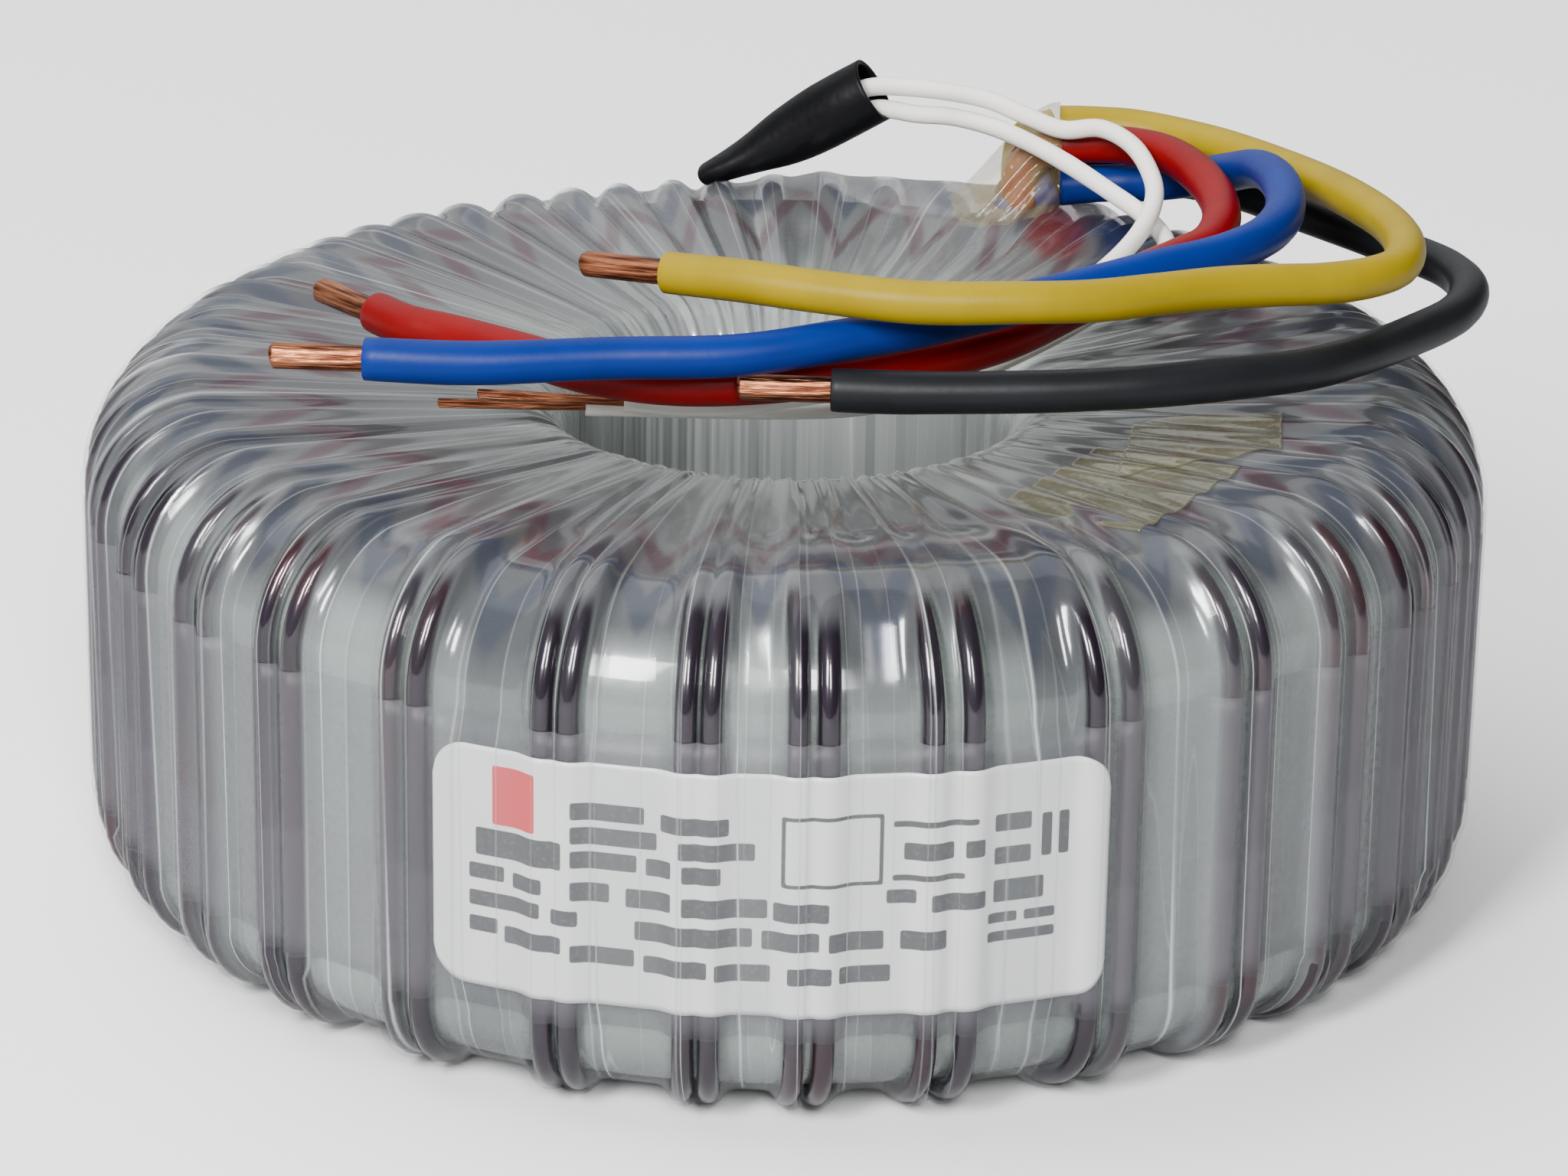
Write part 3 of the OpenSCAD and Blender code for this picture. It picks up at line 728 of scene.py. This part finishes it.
def skin_material(name, grain, between, tones, roughness, relief, bump, others):
    """A skin whose tone changes in slow patches and whose roughness has a fine speckle.

    between says which of the patches' values turn from the first tone to the second, roughness
    is the speckle's share and the rest, relief the height of the patches and of the speckle.
    """
    s = new_material(name)
    speckle, patches = s.group(GRAIN, *grain)
    return s.paint({
        "Base Color": s.blend(s.span(patches, *between), *tones),
        "Roughness": s.times(speckle, *roughness),
        "Normal": s.bump(s.times(patches, relief[0], s.times(speckle, relief[1])), *bump),
        **others,
    })


def enamel_material():
    """Dark purple enamel on copper, glossy, with a redder side here and there."""
    return skin_material("dark_enamel", (1.5, 0.05), (0.50, 0.66),
                         ((0.016, 0.010, 0.018), (0.032, 0.008, 0.012)), (0.06, 0.20), (1, 0),
                         (0.25, 0.3), {"Metallic": 0.4, "Coat Weight": 1.0, "Coat Roughness": 0.05})


def pvc_material(name, tones, roughness=0.35):
    """Satin PVC sleeving with slow changes of shade and a fine skin texture."""
    return skin_material(name, (2.2, 0.09), (0.35, 0.70), tones, (0.14, roughness), (0.5, 0.06),
                         (0.6, 0.35), {"Specular IOR Level": 0.16})


def band_material():
    """Milky film band, a little uneven, with the edge of a second layer lower down."""
    s = new_material("milky_band")
    turn, along = s.attribute("turn"), s.attribute("along")
    streaks = s.noise(s.vector(s.times(turn, 5.0), s.times(along, 0.03), 4.0), 3.0)
    edge = s.times(s.noise(s.vector(s.times(turn, 0.35)), 1.0), 14.0, 20.0)
    second = s.span(s.math("SUBTRACT", edge, along), -0.05, 0.05)
    return s.paint({
        "Base Color": (0.17, 0.165, 0.185),
        "Alpha": s.front_only(s.times(second, 0.08, s.times(streaks, 0.28, 0.16))),
        "Roughness": 0.40,
        "Normal": s.bump(streaks, 0.15, 0.5),
    })


# What is printed on the label, as left, right, low and high from the middle of its lower edge.
LABEL_BARS = (
    (-21.4, -13.4, 21.4, 23.4), (-11.6, -4.2, 20.9, 22.9),
    (-21.4, -12.0, 18.6, 20.6), (-9.6, -1.4, 18.0, 20.0),
    (-21.4, -14.2, 15.8, 17.8), (-13.2, -10.4, 15.6, 17.6), (-9.2, -5.0, 15.3, 17.3),
    (-33.4, -29.2, 12.6, 14.4), (-28.2, -24.6, 12.2, 14.0),
    (-21.4, -17.2, 12.0, 14.2), (-15.4, -10.4, 11.7, 13.9), (-9.2, 0.0, 11.4, 13.6),
    (0.6, 6.6, 11.2, 13.4), (-33.4, -24.8, 9.4, 11.2), (-23.6, -20.6, 9.0, 10.8),
    (-14.4, -1.6, 8.0, 10.2), (-0.6, 5.6, 7.8, 10.0), (6.6, 12.6, 7.7, 9.9),
    (14.4, 19.4, 7.6, 9.8), (-33.4, -30.0, 6.4, 8.2), (-29.2, -22.4, 5.6, 7.6),
    (-21.4, -14.4, 4.8, 6.8), (-13.4, -6.4, 4.3, 6.3), (-5.6, 0.4, 4.0, 6.0),
    (2.2, 7.0, 3.9, 5.9), (7.8, 13.4, 3.9, 5.9),
    (13.4, 22.6, 21.8, 22.5), (13.4, 21.2, 15.6, 16.3), (14.6, 20.0, 18.0, 20.0),
    (21.2, 23.4, 18.0, 20.0), (24.6, 28.8, 20.4, 22.4), (24.6, 28.8, 16.6, 18.6),
    (30.0, 31.2, 17.0, 22.0), (32.0, 33.2, 17.0, 22.0), (12.8, 16.0, 13.0, 14.6),
    (17.6, 23.6, 12.0, 14.0), (24.6, 30.4, 12.2, 14.8), (24.0, 27.4, 9.8, 11.0),
    (28.2, 31.8, 9.8, 11.0), (24.0, 31.8, 7.6, 8.8),
    (-32.6, -22.4, 15.4, 18.6),
)
LABEL_FRAME = (1.4, 12.4, 15.2, 23.4)
LABEL_FRAME_LINE = 0.45
LABEL_PATCH = (-30.6, -25.4, 19.2, 26.0)


def label_material():
    """White label with grey bars, a frame, a dark block and a red patch, all generic."""
    s = new_material("white_label")
    x, z = s.attribute("label_x"), s.attribute("label_z")

    def bar(*edges):
        return s.group(BAR, x, z, *edges)["Mask"]

    left, right, low, high = LABEL_FRAME
    line = LABEL_FRAME_LINE
    hollow = bar(left + line, right - line, low + line, high - line)
    ink = s.math("SUBTRACT", bar(*LABEL_FRAME), hollow)
    for edges in LABEL_BARS:
        ink = s.math("MAXIMUM", ink, bar(*edges))
    speckle, patches = s.group(GRAIN, 2.0, 0.1)
    ink = s.times(ink, s.span(speckle, 0.2, 0.5, 0.88, 0.95))
    paper = s.blend(patches, (0.52, 0.53, 0.54), (0.64, 0.64, 0.64))
    printed = s.blend(ink, paper, (0.045, 0.048, 0.052))
    return s.paint({
        "Base Color": s.blend(bar(*LABEL_PATCH), printed, (0.52, 0.055, 0.06)),
        "Roughness": 0.4,
        "Coat Weight": 0.3,
        "Coat Roughness": 0.2,
        "Normal": s.bump(speckle, 0.03, 0.4),
    })


def copper_material():
    """Scraped copper: lines along the conductor, brighter where it was scraped deepest."""
    s = new_material("scraped_copper")
    around, along = s.attribute("round"), s.attribute("along")
    lines = s.noise(s.vector(s.times(around, 7.0), s.times(along, 0.10)), 3.0)
    fine = s.noise(s.vector(s.times(around, 24.0), s.times(along, 0.2), 2.0))
    bright = s.span(lines, 0.40, 0.62)
    return s.paint({
        "Base Color": s.blend(bright, (0.11, 0.030, 0.015), (0.55, 0.21, 0.10)),
        "Metallic": 1.0,
        "Roughness": s.times(fine, 0.25, 0.22),
        "Normal": s.bump(s.times(fine, 0.3, lines), 0.5, 0.9),
    })


def shrink_sleeve_material():
    """Black shrink sleeve: satin, with faint ripples."""
    s = new_material("black_shrink_sleeve")
    speckle, patches = s.group(GRAIN, 1.6, 0.16)
    return s.paint({
        "Base Color": s.blend(patches, (0.001, 0.001, 0.0015), (0.002, 0.002, 0.003)),
        "Roughness": s.times(speckle, 0.2, 0.36),
        "Specular IOR Level": 0.18,
        "Normal": s.bump(patches, 0.8, 0.5),
    })


def clear_tape_material(name, tint, alpha, crease=1.0):
    """Tinted clear tape, a little uneven, that covers more where it is seen aslant and less
    where its "faint" attribute is high."""
    s = new_material(name)
    speckle, patches = s.group(GRAIN, 0.35, 0.12)
    cover = s.times(s.facing(0.3), 0.25, s.times(patches, 0.22, alpha))
    cover = s.front_only(s.times(cover, s.flip(s.attribute("faint"))))
    return s.paint({
        "Base Color": s.blend(speckle, tint, [tone * 1.5 for tone in tint]),
        "Alpha": s.math("MINIMUM", cover, 1.0),
        "Roughness": 0.14,
        "IOR": 1.55,
        "Coat Weight": 1.0,
        "Coat Roughness": 0.05,
        "Normal": s.bump(s.math("ADD", speckle, patches), crease, 0.6),
    })


def steel_material():
    """Edges of wound steel strip: fine rings round the axis."""
    s = new_material("strip_steel")
    flat = s.combine("MULTIPLY", s.place_at(), (1, 1, 0))[0]
    reach = s.combine("LENGTH", flat)["Value"]
    strip = s.math("FRACT", s.times(reach, 1 / (0.3 * MM)))
    return s.paint({
        "Base Color": s.blend(strip, (0.30, 0.31, 0.34), (0.45, 0.46, 0.50)),
        "Metallic": 1.0,
        "Roughness": 0.42,
        "Normal": s.bump(strip, 0.05, 0.5),
    })


def fine_wire_material():
    """Many turns of fine copper wire side by side, as lines up the side and across the top."""
    s = new_material("fine_copper_turns")
    parts = s.add("ShaderNodeSeparateXYZ", {0: s.place_at()}).outputs
    turns = s.math("SINE", s.times(s.math("ARCTAN2", parts["Y"], parts["X"]), 420.0))
    return s.paint({
        "Base Color": s.blend(s.span(turns, -1, 1), (0.16, 0.05, 0.03), (0.50, 0.20, 0.10)),
        "Metallic": 0.6,
        "Roughness": 0.35,
        "Normal": s.bump(turns, 0.2, 0.7),
    })


def floor_material():
    """Plain pale floor with a trace of unevenness, which throws less light back on the piece
    than it shows, as a grey table would."""
    s = new_material("pale_floor")
    _, patches = s.group(GRAIN, 0.2, 0.004)
    pale = s.blend(patches, (0.90, 0.90, 0.90), (0.93, 0.93, 0.93))
    seen = s.add("ShaderNodeLightPath").outputs["Is Camera Ray"]
    return s.paint({
        "Base Color": s.blend(seen, (0.42, 0.42, 0.43), pale),
        "Roughness": 0.6,
        "Specular IOR Level": 0.2,
    })


# --- The ring ---
# The film's mound over the exit and its lower arm towards the sleeve: middle, reach and height.
MOUND_X, MOUND_Y = (29, 13), (56, 9)
MOUND_HIGH = 1.9
ARM_X, ARM_R = (14, 20), (66, 11)
ARM_HIGH = 0.8
# The fold that runs slanting over the arm: where it crosses, its slant, width and height.
FOLD_AT, FOLD_SLANT, FOLD_WIDE, FOLD_HIGH = (9, 60), 0.5, 2.2, 0.5
# Height of the coarse and the fine pleats near the hole, and how far the film draws in there.
PLEAT_COARSE, PLEAT_FINE, DRAWN_IN = 0.16, 0.10, 0.26


def bell(value, middle, reach, power):
    """1 at the middle, falling away on both sides."""
    return np.exp(-((value - middle) / reach) ** power)


def film_relief(turns, radius, height, along, rise):
    """Pleats and the mound over the leads' roots, added to the level of the film.

    The pleats grow towards the hole: sines round the ring whose crests drift. The mound has a
    lower arm towards the sleeve, and both bridge the ribs below them.
    """
    near = ramp(radius, 46, 30) ** 1.5
    slow = np.sin(2 * math.pi * turns / PAIRS * 5 + 0.05 * along)
    pleats = np.sin(2 * math.pi * (turns * 3 + 0.35 * slow) + 0.03 * along)
    second = np.sin(2 * math.pi * (turns * 5 - 0.3 * slow) - 0.05 * along)
    soften = 1 - 0.55 * ramp(radius, 30, 26)
    relief = near * ((PLEAT_COARSE * pleats + PLEAT_FINE * second) * soften - DRAWN_IN)
    angle = pair_angle(turns, radius)
    x, y = radius * np.cos(angle), radius * np.sin(angle)
    on_top = ramp(height, 45, 53)
    mound = bell(x, *MOUND_X, 2) * bell(y, *MOUND_Y, 2)
    arm = bell(x, *ARM_X, 4) * bell(radius, *ARM_R, 4)
    fold = bell(x + FOLD_SLANT * (y - FOLD_AT[1]), FOLD_AT[0], FOLD_WIDE, 2) * arm
    cover = np.clip(mound + arm, 0, 1) * on_top
    raised = MOUND_HIGH * mound + FOLD_HIGH * fold + ARM_HIGH * arm
    return relief * (1 - cover) - rise * 0.9 * cover + raised * on_top


def make_film():
    skin = ring_skin((9, 18, 20, 12, 8, 7, 12, 12), 30, FILM_IN, film_level, film_relief)
    make_piece("film_wrap", *skin, "film", film_material(), "outer_wrap")


def make_underlayer():
    """Smooth insulation ring under the wires."""
    skin = ring_skin((6, 12, 10, 8, 5, 6, 10, 10), 8, UNDERLAYER_IN)
    make_piece("insulation_under_wires", *skin, "insulation", underlayer_material(),
               "interwinding_wrap")


def make_winding(name, node, side, material):
    """One wire of the pairs, all its turns: its middle line is the section set in to the wire's
    middle, stepped one pitch on at every turn."""
    sides = 12
    section, out, _, low_row = ring_section((5, 10, 6, 7, 4, 6, 6, 8))
    middle = section - out * (WIRE_IN + WIRE_R)
    turns = np.arange(-PAIRS // 2, PAIRS // 2)[:, None] + advance(section, low_row)[None, :]
    radius, height = middle.T
    angle = pair_angle(turns, radius) + pair_spread(turns, radius) * side / radius
    line = place(radius, height, angle).reshape(-1, 3)
    outward = place(out[:, 0], out[:, 1], angle).reshape(-1, 3)
    points = rings(line, path_frames(line, outward), WIRE_R, WIRE_R, sides)
    make_piece(name, points, tube_faces(len(line), sides), {}, "secondary_wire", material, node)


def make_label():
    """Sheet that follows the ribs. Its lower and upper edges close in at the corners by the
    height of a circle, and its rim joins the outer layer to the inner one."""
    columns, rows = 240, 40
    low, high = heights("rating_label")
    even = np.linspace(-PAIRS, PAIRS, 4000)
    turns = np.interp(np.linspace(LABEL_START, LABEL_END, columns), pair_angle(even, OUTER_R), even)
    angle = pair_angle(turns, OUTER_R)
    across = (angle - (LABEL_START + LABEL_END) / 2) * OUTER_R
    half = (LABEL_END - LABEL_START) / 2 * OUTER_R
    into = np.maximum(np.abs(across) - (half - LABEL_CORNER), 0)
    cut = LABEL_CORNER - np.sqrt(np.maximum(LABEL_CORNER**2 - into**2, 0))
    share = np.linspace(0, 1, rows)[:, None]
    height = (low + cut) * (1 - share) + (high - cut) * share
    lift = film_level(turns, OUTER_R, height)
    points = [place(OUTER_R - depth + lift, height, angle)
              for depth in (LABEL_IN, LABEL_IN + SHEET_T)]
    face = grid_faces(rows, columns)
    index = np.arange(rows * columns).reshape(rows, columns)
    rim = np.concatenate([index[0], index[1:, -1], index[-1, -2::-1], index[-2:0:-1, 0]])
    beyond = np.roll(rim, -1)
    walls = np.stack([rim, rim + index.size, beyond + index.size, beyond], -1)
    faces = np.concatenate([face, face[:, ::-1] + index.size, walls])
    attributes = {"label_x": np.tile(across, 2 * rows), "label_z": np.tile(height - low, (2, 1))}
    make_piece("label", points, faces, attributes, "label", label_material(), "rating_label")


def make_band():
    """Thin film right round the side, with a wavy upper part."""
    rows = 14
    low, high = heights("side_band")
    turns = uneven_turns(26)
    angle = pair_angle(turns, OUTER_R)
    level = np.linspace(low, high, rows)
    level = np.concatenate([level, level[::-1]])[:, None]
    depth = np.repeat([BAND_IN, BAND_IN + SHEET_T], rows)[:, None]
    wave = 0.35 * np.sin(3 * angle) + 0.2 * np.sin(11 * angle)
    height = level + np.where(level > 40, 1, 0) * wave
    points = place(OUTER_R - depth + film_level(turns, OUTER_R, height), height, angle)
    faces = grid_faces(2 * rows, len(turns), close_rows=True, close_columns=True)
    attributes = {"turn": np.tile(turns, 2 * rows), "along": height}
    make_piece("side_band_film", points, faces, attributes, "side_band", band_material(),
               "side_band")


# --- Leads ---
# How far the sleeve's end rounds in, and how deep its bore is.
END_ROUND = 0.12
BORE_DEPTH = 1.8
# How far the conductor starts inside the sleeve.
CONDUCTOR_IN = 1.4


def make_sleeve(name, kind, line, way, material, slot):
    """Sleeve along its route: round outside, and at its end a rim, a bore and the bore's floor."""
    radius, bore = kind["sleeve"] / 2, kind["conductor"] / 2 + kind["air"]
    s = np.linspace(0, 1, len(line))
    wobble = 1 + 0.012 * np.sin(23 * s + len(name)) + 0.008 * np.sin(61 * s)
    end = line[-1]
    rim = [end - way * k for k in (END_ROUND, 0.0, 0.02, 0.8, BORE_DEPTH)]
    shape = [radius * 0.98, radius * 0.94, bore, bore * 0.97, bore * 0.93]
    radii = np.concatenate([radius * wobble[:-1], shape])[:, None]
    frames = [np.vstack([side[:-1], np.repeat(side[-1:], len(rim), 0)])
              for side in path_frames(line)]
    points = rings(np.vstack([line[:-1], rim]), frames, radii, radii, kind["sides"])
    return make_piece("sleeve_" + name, points, tube_faces(len(points), kind["sides"]), {}, slot,
                      material, "lead_" + name)


def make_conductor(name, kind, end, way, material):
    """Bared conductor: a round bar with scraped facets, and a slightly slanting cut end."""
    count, sides = 30, 36
    diameter, length = kind["conductor"], kind["bare"]
    along = np.linspace(0, 1, count)[:, None]
    line = end - way * CONDUCTOR_IN + along * (length + CONDUCTOR_IN) * way
    line[-2] = line[-1] - way * 0.06
    angle = turning(sides)
    facets = 1 - 0.035 * (0.5 + 0.5 * np.cos(5 * angle + 1.0)) * (0.6 + 0.4 * along)
    grooves = 1 - 0.02 * (0.5 + 0.5 * np.cos(11 * angle + 2 * along))
    size = diameter / 2 * facets * grooves
    size[-1] *= 0.90
    points = rings(line, path_frames(line), size, size, sides)
    points[-1] += way * (0.12 * diameter * np.cos(angle + 0.8))[:, None]
    attributes = {
        "round": np.tile(np.abs(angle / math.pi - 1), count),
        "along": np.repeat(along[:, 0] * length, sides),
    }
    return make_piece("conductor_" + name, points, tube_faces(count, sides), attributes,
                      "bare_copper", material, "bare_end_" + name)


def make_lead_root(name, material):
    """The start of a heavy lead inside the clear tape, from the ring's top to the tape's mouth."""
    sides = 20
    x, y, z = ROUTES[name][0]
    outward = 1 if y > 60 else -1
    line = smooth_route([
        (26 + 0.3 * z, 57.5 + 2.3 * outward, -3.2), (27 + 0.2 * z, 57.8 + 2.4 * outward, 0.6),
        (x - 4.5, y, z - 2.4), (x - 0.4, y, z - 0.1),
    ], 6)
    radius = HEAVY["sleeve"] / 2 - 0.15
    points = rings(line, path_frames(line), radius, radius, sides)
    make_piece(name + "_root", points, tube_faces(len(line), sides), {}, name + "_sleeve",
               material)


def make_leads():
    """Each lead is a cord: a sleeve along its route and the conductor that comes out of it."""
    copper = copper_material()
    white = pvc_material("white_pvc", WHITE_TONES, 0.31)
    for name, route in ROUTES.items():
        if name in HEAVY_TONES:
            kind, slot = HEAVY, name + "_sleeve"
            material = pvc_material(name + "_pvc", HEAVY_TONES[name])
            make_lead_root(name, material)
        else:
            kind, slot, material = FINE, "white_sleeve", white
        line = smooth_route(route, 8)
        way = unit(np.subtract(route[-1], route[-2]))
        obj = make_sleeve(name, kind, line, way, material, slot)
        bare = make_conductor(name, kind, line[-1], way, copper)


# --- Sleeve and tapes ---
def make_primary_sleeve():
    """Black sleeve: an oval tube, flat at its root, that opens to a thin round mouth."""
    sides, wall_t = 32, 0.5
    line = smooth_route(SLEEVE_ROUTE, 12)
    rows = len(line)
    s = np.linspace(0, 1, rows)
    opened = ease(ramp(s, 0, 0.75))
    tall = SLEEVE_D / 2 * (0.34 + 0.70 * opened) + 0.12 * np.sin(16 * s) * (1 - s)
    wide = SLEEVE_D / 2 * (0.80 + 0.16 * opened)
    # Up the outside, over the mouth and back down the inside.
    back = np.arange(rows - 2, rows // 2, -2)
    order = np.concatenate([np.arange(rows), [rows - 1], back])
    wall = np.where(np.arange(len(order)) < rows, 0, wall_t)
    crease = 1 - 0.05 * np.cos(3 * turning(sides) + 0.6) * (1 - opened[order])[:, None]
    frames = [side[order] for side in path_frames(line)]
    points = rings(line[order], frames, crease * (tall[order] - wall)[:, None],
                   crease * (wide[order] - wall)[:, None], sides)
    make_piece("shrink_sleeve", points, tube_faces(len(order), sides), {}, "black_sleeve",
               shrink_sleeve_material(), "primary_sleeve")


# Middle and reach of the foot of the exit tape, how far its mouth stands off the sleeves, and
# the height of its folds.
FOOT_X, FOOT_Y = (25.5, 8), (58, 8.4)
MOUTH_GAP = 0.35
FOLDS = 0.9


def make_exit_tape():
    """Clear tape drawn up over the four leads: rings from the foot to the mouth.

    Each ring blends the foot's circle with the outline of the four leads at the mouth, and
    drawn-in folds run from one to the other.
    """
    rows, sides = 26, 96
    angle = turning(sides)
    foot = np.stack([FOOT_X[0] + FOOT_X[1] * np.cos(angle), FOOT_Y[0] + FOOT_Y[1] * np.sin(angle),
                     0.2 + 0 * angle], 1)
    mouths = np.array([ROUTES[name][0] for name in HEAVY_TONES], float)
    middle = mouths.mean(0)
    looks = np.stack([0 * angle, np.sin(angle), -np.cos(angle)], 1)
    far = ((mouths - middle) @ looks.T).max(0) + HEAVY["sleeve"] / 2 + MOUTH_GAP
    mouth = middle + far[:, None] * looks
    share = np.linspace(0, 1, rows)[:, None, None]
    mix = (1 - share) * foot + share * mouth
    mix[..., 2] = ((1 - ease(share)) * foot + ease(share) * mouth)[..., 2]
    folds = 0.45 * np.sin(7 * angle) + 0.25 * np.sin(17 * angle + 1)
    pull = folds * np.sin(math.pi * share[..., 0]) * FOLDS
    mix[..., 1] += pull * np.sin(angle)
    mix[..., 2] = np.maximum(mix[..., 2] + 0.5 * pull, 0.15)
    faint = 0.9 * (1 - ramp(share[:, 0, 0], 0, 0.45)) ** 1.5
    make_piece("exit_tape_tent", mix + (0, 0, HEIGHT), grid_faces(rows, sides, close_rows=True),
               {"faint": np.repeat(faint, sides)}, "amber_tape",
               clear_tape_material("amber_tape", (0.28, 0.22, 0.10), 0.18), "exit_tape",
               thickness=0.12, grow=-1)


# The corners of the two pieces of tape on the top, going round.
PATCH_STRIPS = (
    ((23.5, -42.0), (35.5, -22.5), (51.0, -32.5), (38.5, -54.0)),
    ((37.0, -33.5), (40.0, -13.8), (57.0, -12.8), (56.0, -26.0)),
)


def make_patch_tape():
    """Two overlapping pieces of tape: four-cornered sheets that dip a little between the ribs."""
    steps, layer_t = 60, 0.12
    u, v = np.meshgrid(np.linspace(0, 1, steps), np.linspace(0, 1, steps))
    shares = np.stack([(1 - u) * (1 - v), u * (1 - v), u * v, (1 - u) * v], -1)
    sheets = []
    for layer, corners in enumerate(PATCH_STRIPS):
        x, y = np.moveaxis(shares @ np.array(corners), -1, 0)
        radius = np.hypot(x, y)
        angle = np.arctan2(y, x)
        # The turn at which the wandering pairs have this angle.
        turn = (angle - FIRST_PAIR) / PITCH
        for _ in range(3):
            turn = turn - (pair_angle(turn, radius) - angle) / PITCH
        crests = HEIGHT - DISH * ramp(radius, TOP_OUT, TOP_IN)
        dip = np.maximum(rib_drop(turn, radius) * 0.5, -0.6)
        sheets.append(np.stack([x, y, crests + dip + layer_t * layer], -1))
    faces = np.concatenate([grid_faces(steps, steps) + k * steps**2 for k in range(len(sheets))])
    make_piece("patch_tape_pieces", sheets, faces, {}, "clear_tape",
               clear_tape_material("yellowed_tape", (0.115, 0.11, 0.055), 0.28, crease=0.4),
               "patch_tape", thickness=0.06, grow=1)


def paint_inner_nodes():
    """Materials of the solids that stay as they are, inside the ring."""
    paints = {
        "core": steel_material(),
        "core_wrap": underlayer_material(),
        "primary_winding": fine_wire_material(),
    }
    for name, material in paints.items():
        obj = frame["nodes"][name]
        obj.data.materials.clear()
        obj.data.materials.append(material)


# --- Studio ---
def set_axes(obj, right, up, away, origin):
    """Places a camera or lamp that looks against "away"."""
    matrix = np.eye(4)
    matrix[:3] = np.stack([right, up, away, origin], 1)
    obj.matrix_world = Matrix(matrix.tolist())
    bpy.context.scene.collection.objects.link(obj)


def make_camera():
    """Camera on the axis of view: 21.6 degrees above the floor and 682 mm from the middle."""
    lift, reach, roll = math.radians(21.6), 682.0, math.radians(0.94)
    data = bpy.data.cameras.new("camera")
    data.sensor_width = 36.0
    data.lens = 131.81836  # a long lens, as the piece fills the view from far off
    data.shift_x = 0.0009766
    data.shift_y = 0.0078125
    data.clip_end = 20
    camera = bpy.data.objects.new("camera", data)
    away = np.array([0, -math.cos(lift), math.sin(lift)])
    right = np.array([1.0, 0, 0])
    up = np.cross(away, right)
    set_axes(camera, math.cos(roll) * right + math.sin(roll) * up,
             math.cos(roll) * up - math.sin(roll) * right, away,
             (np.array([0, 0, HEIGHT / 2]) + away * reach) * MM)
    bpy.context.scene.camera = camera


# Name, place, width and height in metres, and watts. They all look at the piece.
LAMPS = (
    ("overhead", (-0.5, 1.2, 2.0), (3.0, 2.2), 18),
    ("veiled_ceiling", (-0.9, 0.7, 2.0), (2.4, 2.0), 66),
    ("pale_backdrop", (-0.3, 1.7, 0.75), (3.0, 1.3), 7),
    ("window_left", (-0.60, -1.1, 0.95), (0.30, 0.60), 38),
    ("window_middle", (0.15, -1.2, 0.90), (0.24, 0.55), 20),
)
LAMP_TARGET = (0, 0, 0.04)
FLOOR_HALF = 4000


def make_studio():
    """Pale floor, soft surroundings that are darker to the right, two windows in front, a pale
    backdrop, and a broad light overhead that mostly leaves no reflection, like a veiled ceiling."""
    corners = [(x * FLOOR_HALF, y * FLOOR_HALF, 0) for x, y in ((-1, -1), (1, -1), (1, 1), (-1, 1))]
    floor = make_mesh("floor", corners, [(0, 1, 2, 3)], {}, smooth=False)
    floor.data.materials.append(floor_material())
    world = bpy.data.worlds.new("surroundings")
    world.use_nodes = True
    s = Sheet(world.node_tree)
    around = s.add("ShaderNodeTexCoord").outputs["Generated"]
    to_right = s.add("ShaderNodeSeparateXYZ", {0: around}).outputs["X"]
    background = world.node_tree.nodes["Background"].inputs
    s.join(background["Color"], (0.90, 0.94, 1.0))
    s.join(background["Strength"], s.span(to_right, -0.8, 0.8, 0.34, 0.03))
    bpy.context.scene.world = world
    for name, place_at, size, watts in LAMPS:
        data = bpy.data.lights.new(name, "AREA")
        data.shape = "RECTANGLE"
        data.size, data.size_y = size
        data.energy = watts
        light = bpy.data.objects.new(name, data)
        light.visible_glossy = name != "veiled_ceiling"
        away = unit(np.subtract(place_at, LAMP_TARGET))
        side = unit(np.cross((0, 0, 1), away))
        set_axes(light, side, np.cross(away, side), away, place_at)


make_underlayer()
enamel = enamel_material()
make_winding("winding_a", "secondary_a", -1, enamel)
make_winding("winding_b", "secondary_b", 1, enamel)
make_band()
make_label()
make_film()
make_leads()
make_primary_sleeve()
make_exit_tape()
make_patch_tape()
paint_inner_nodes()
make_camera()
make_studio()
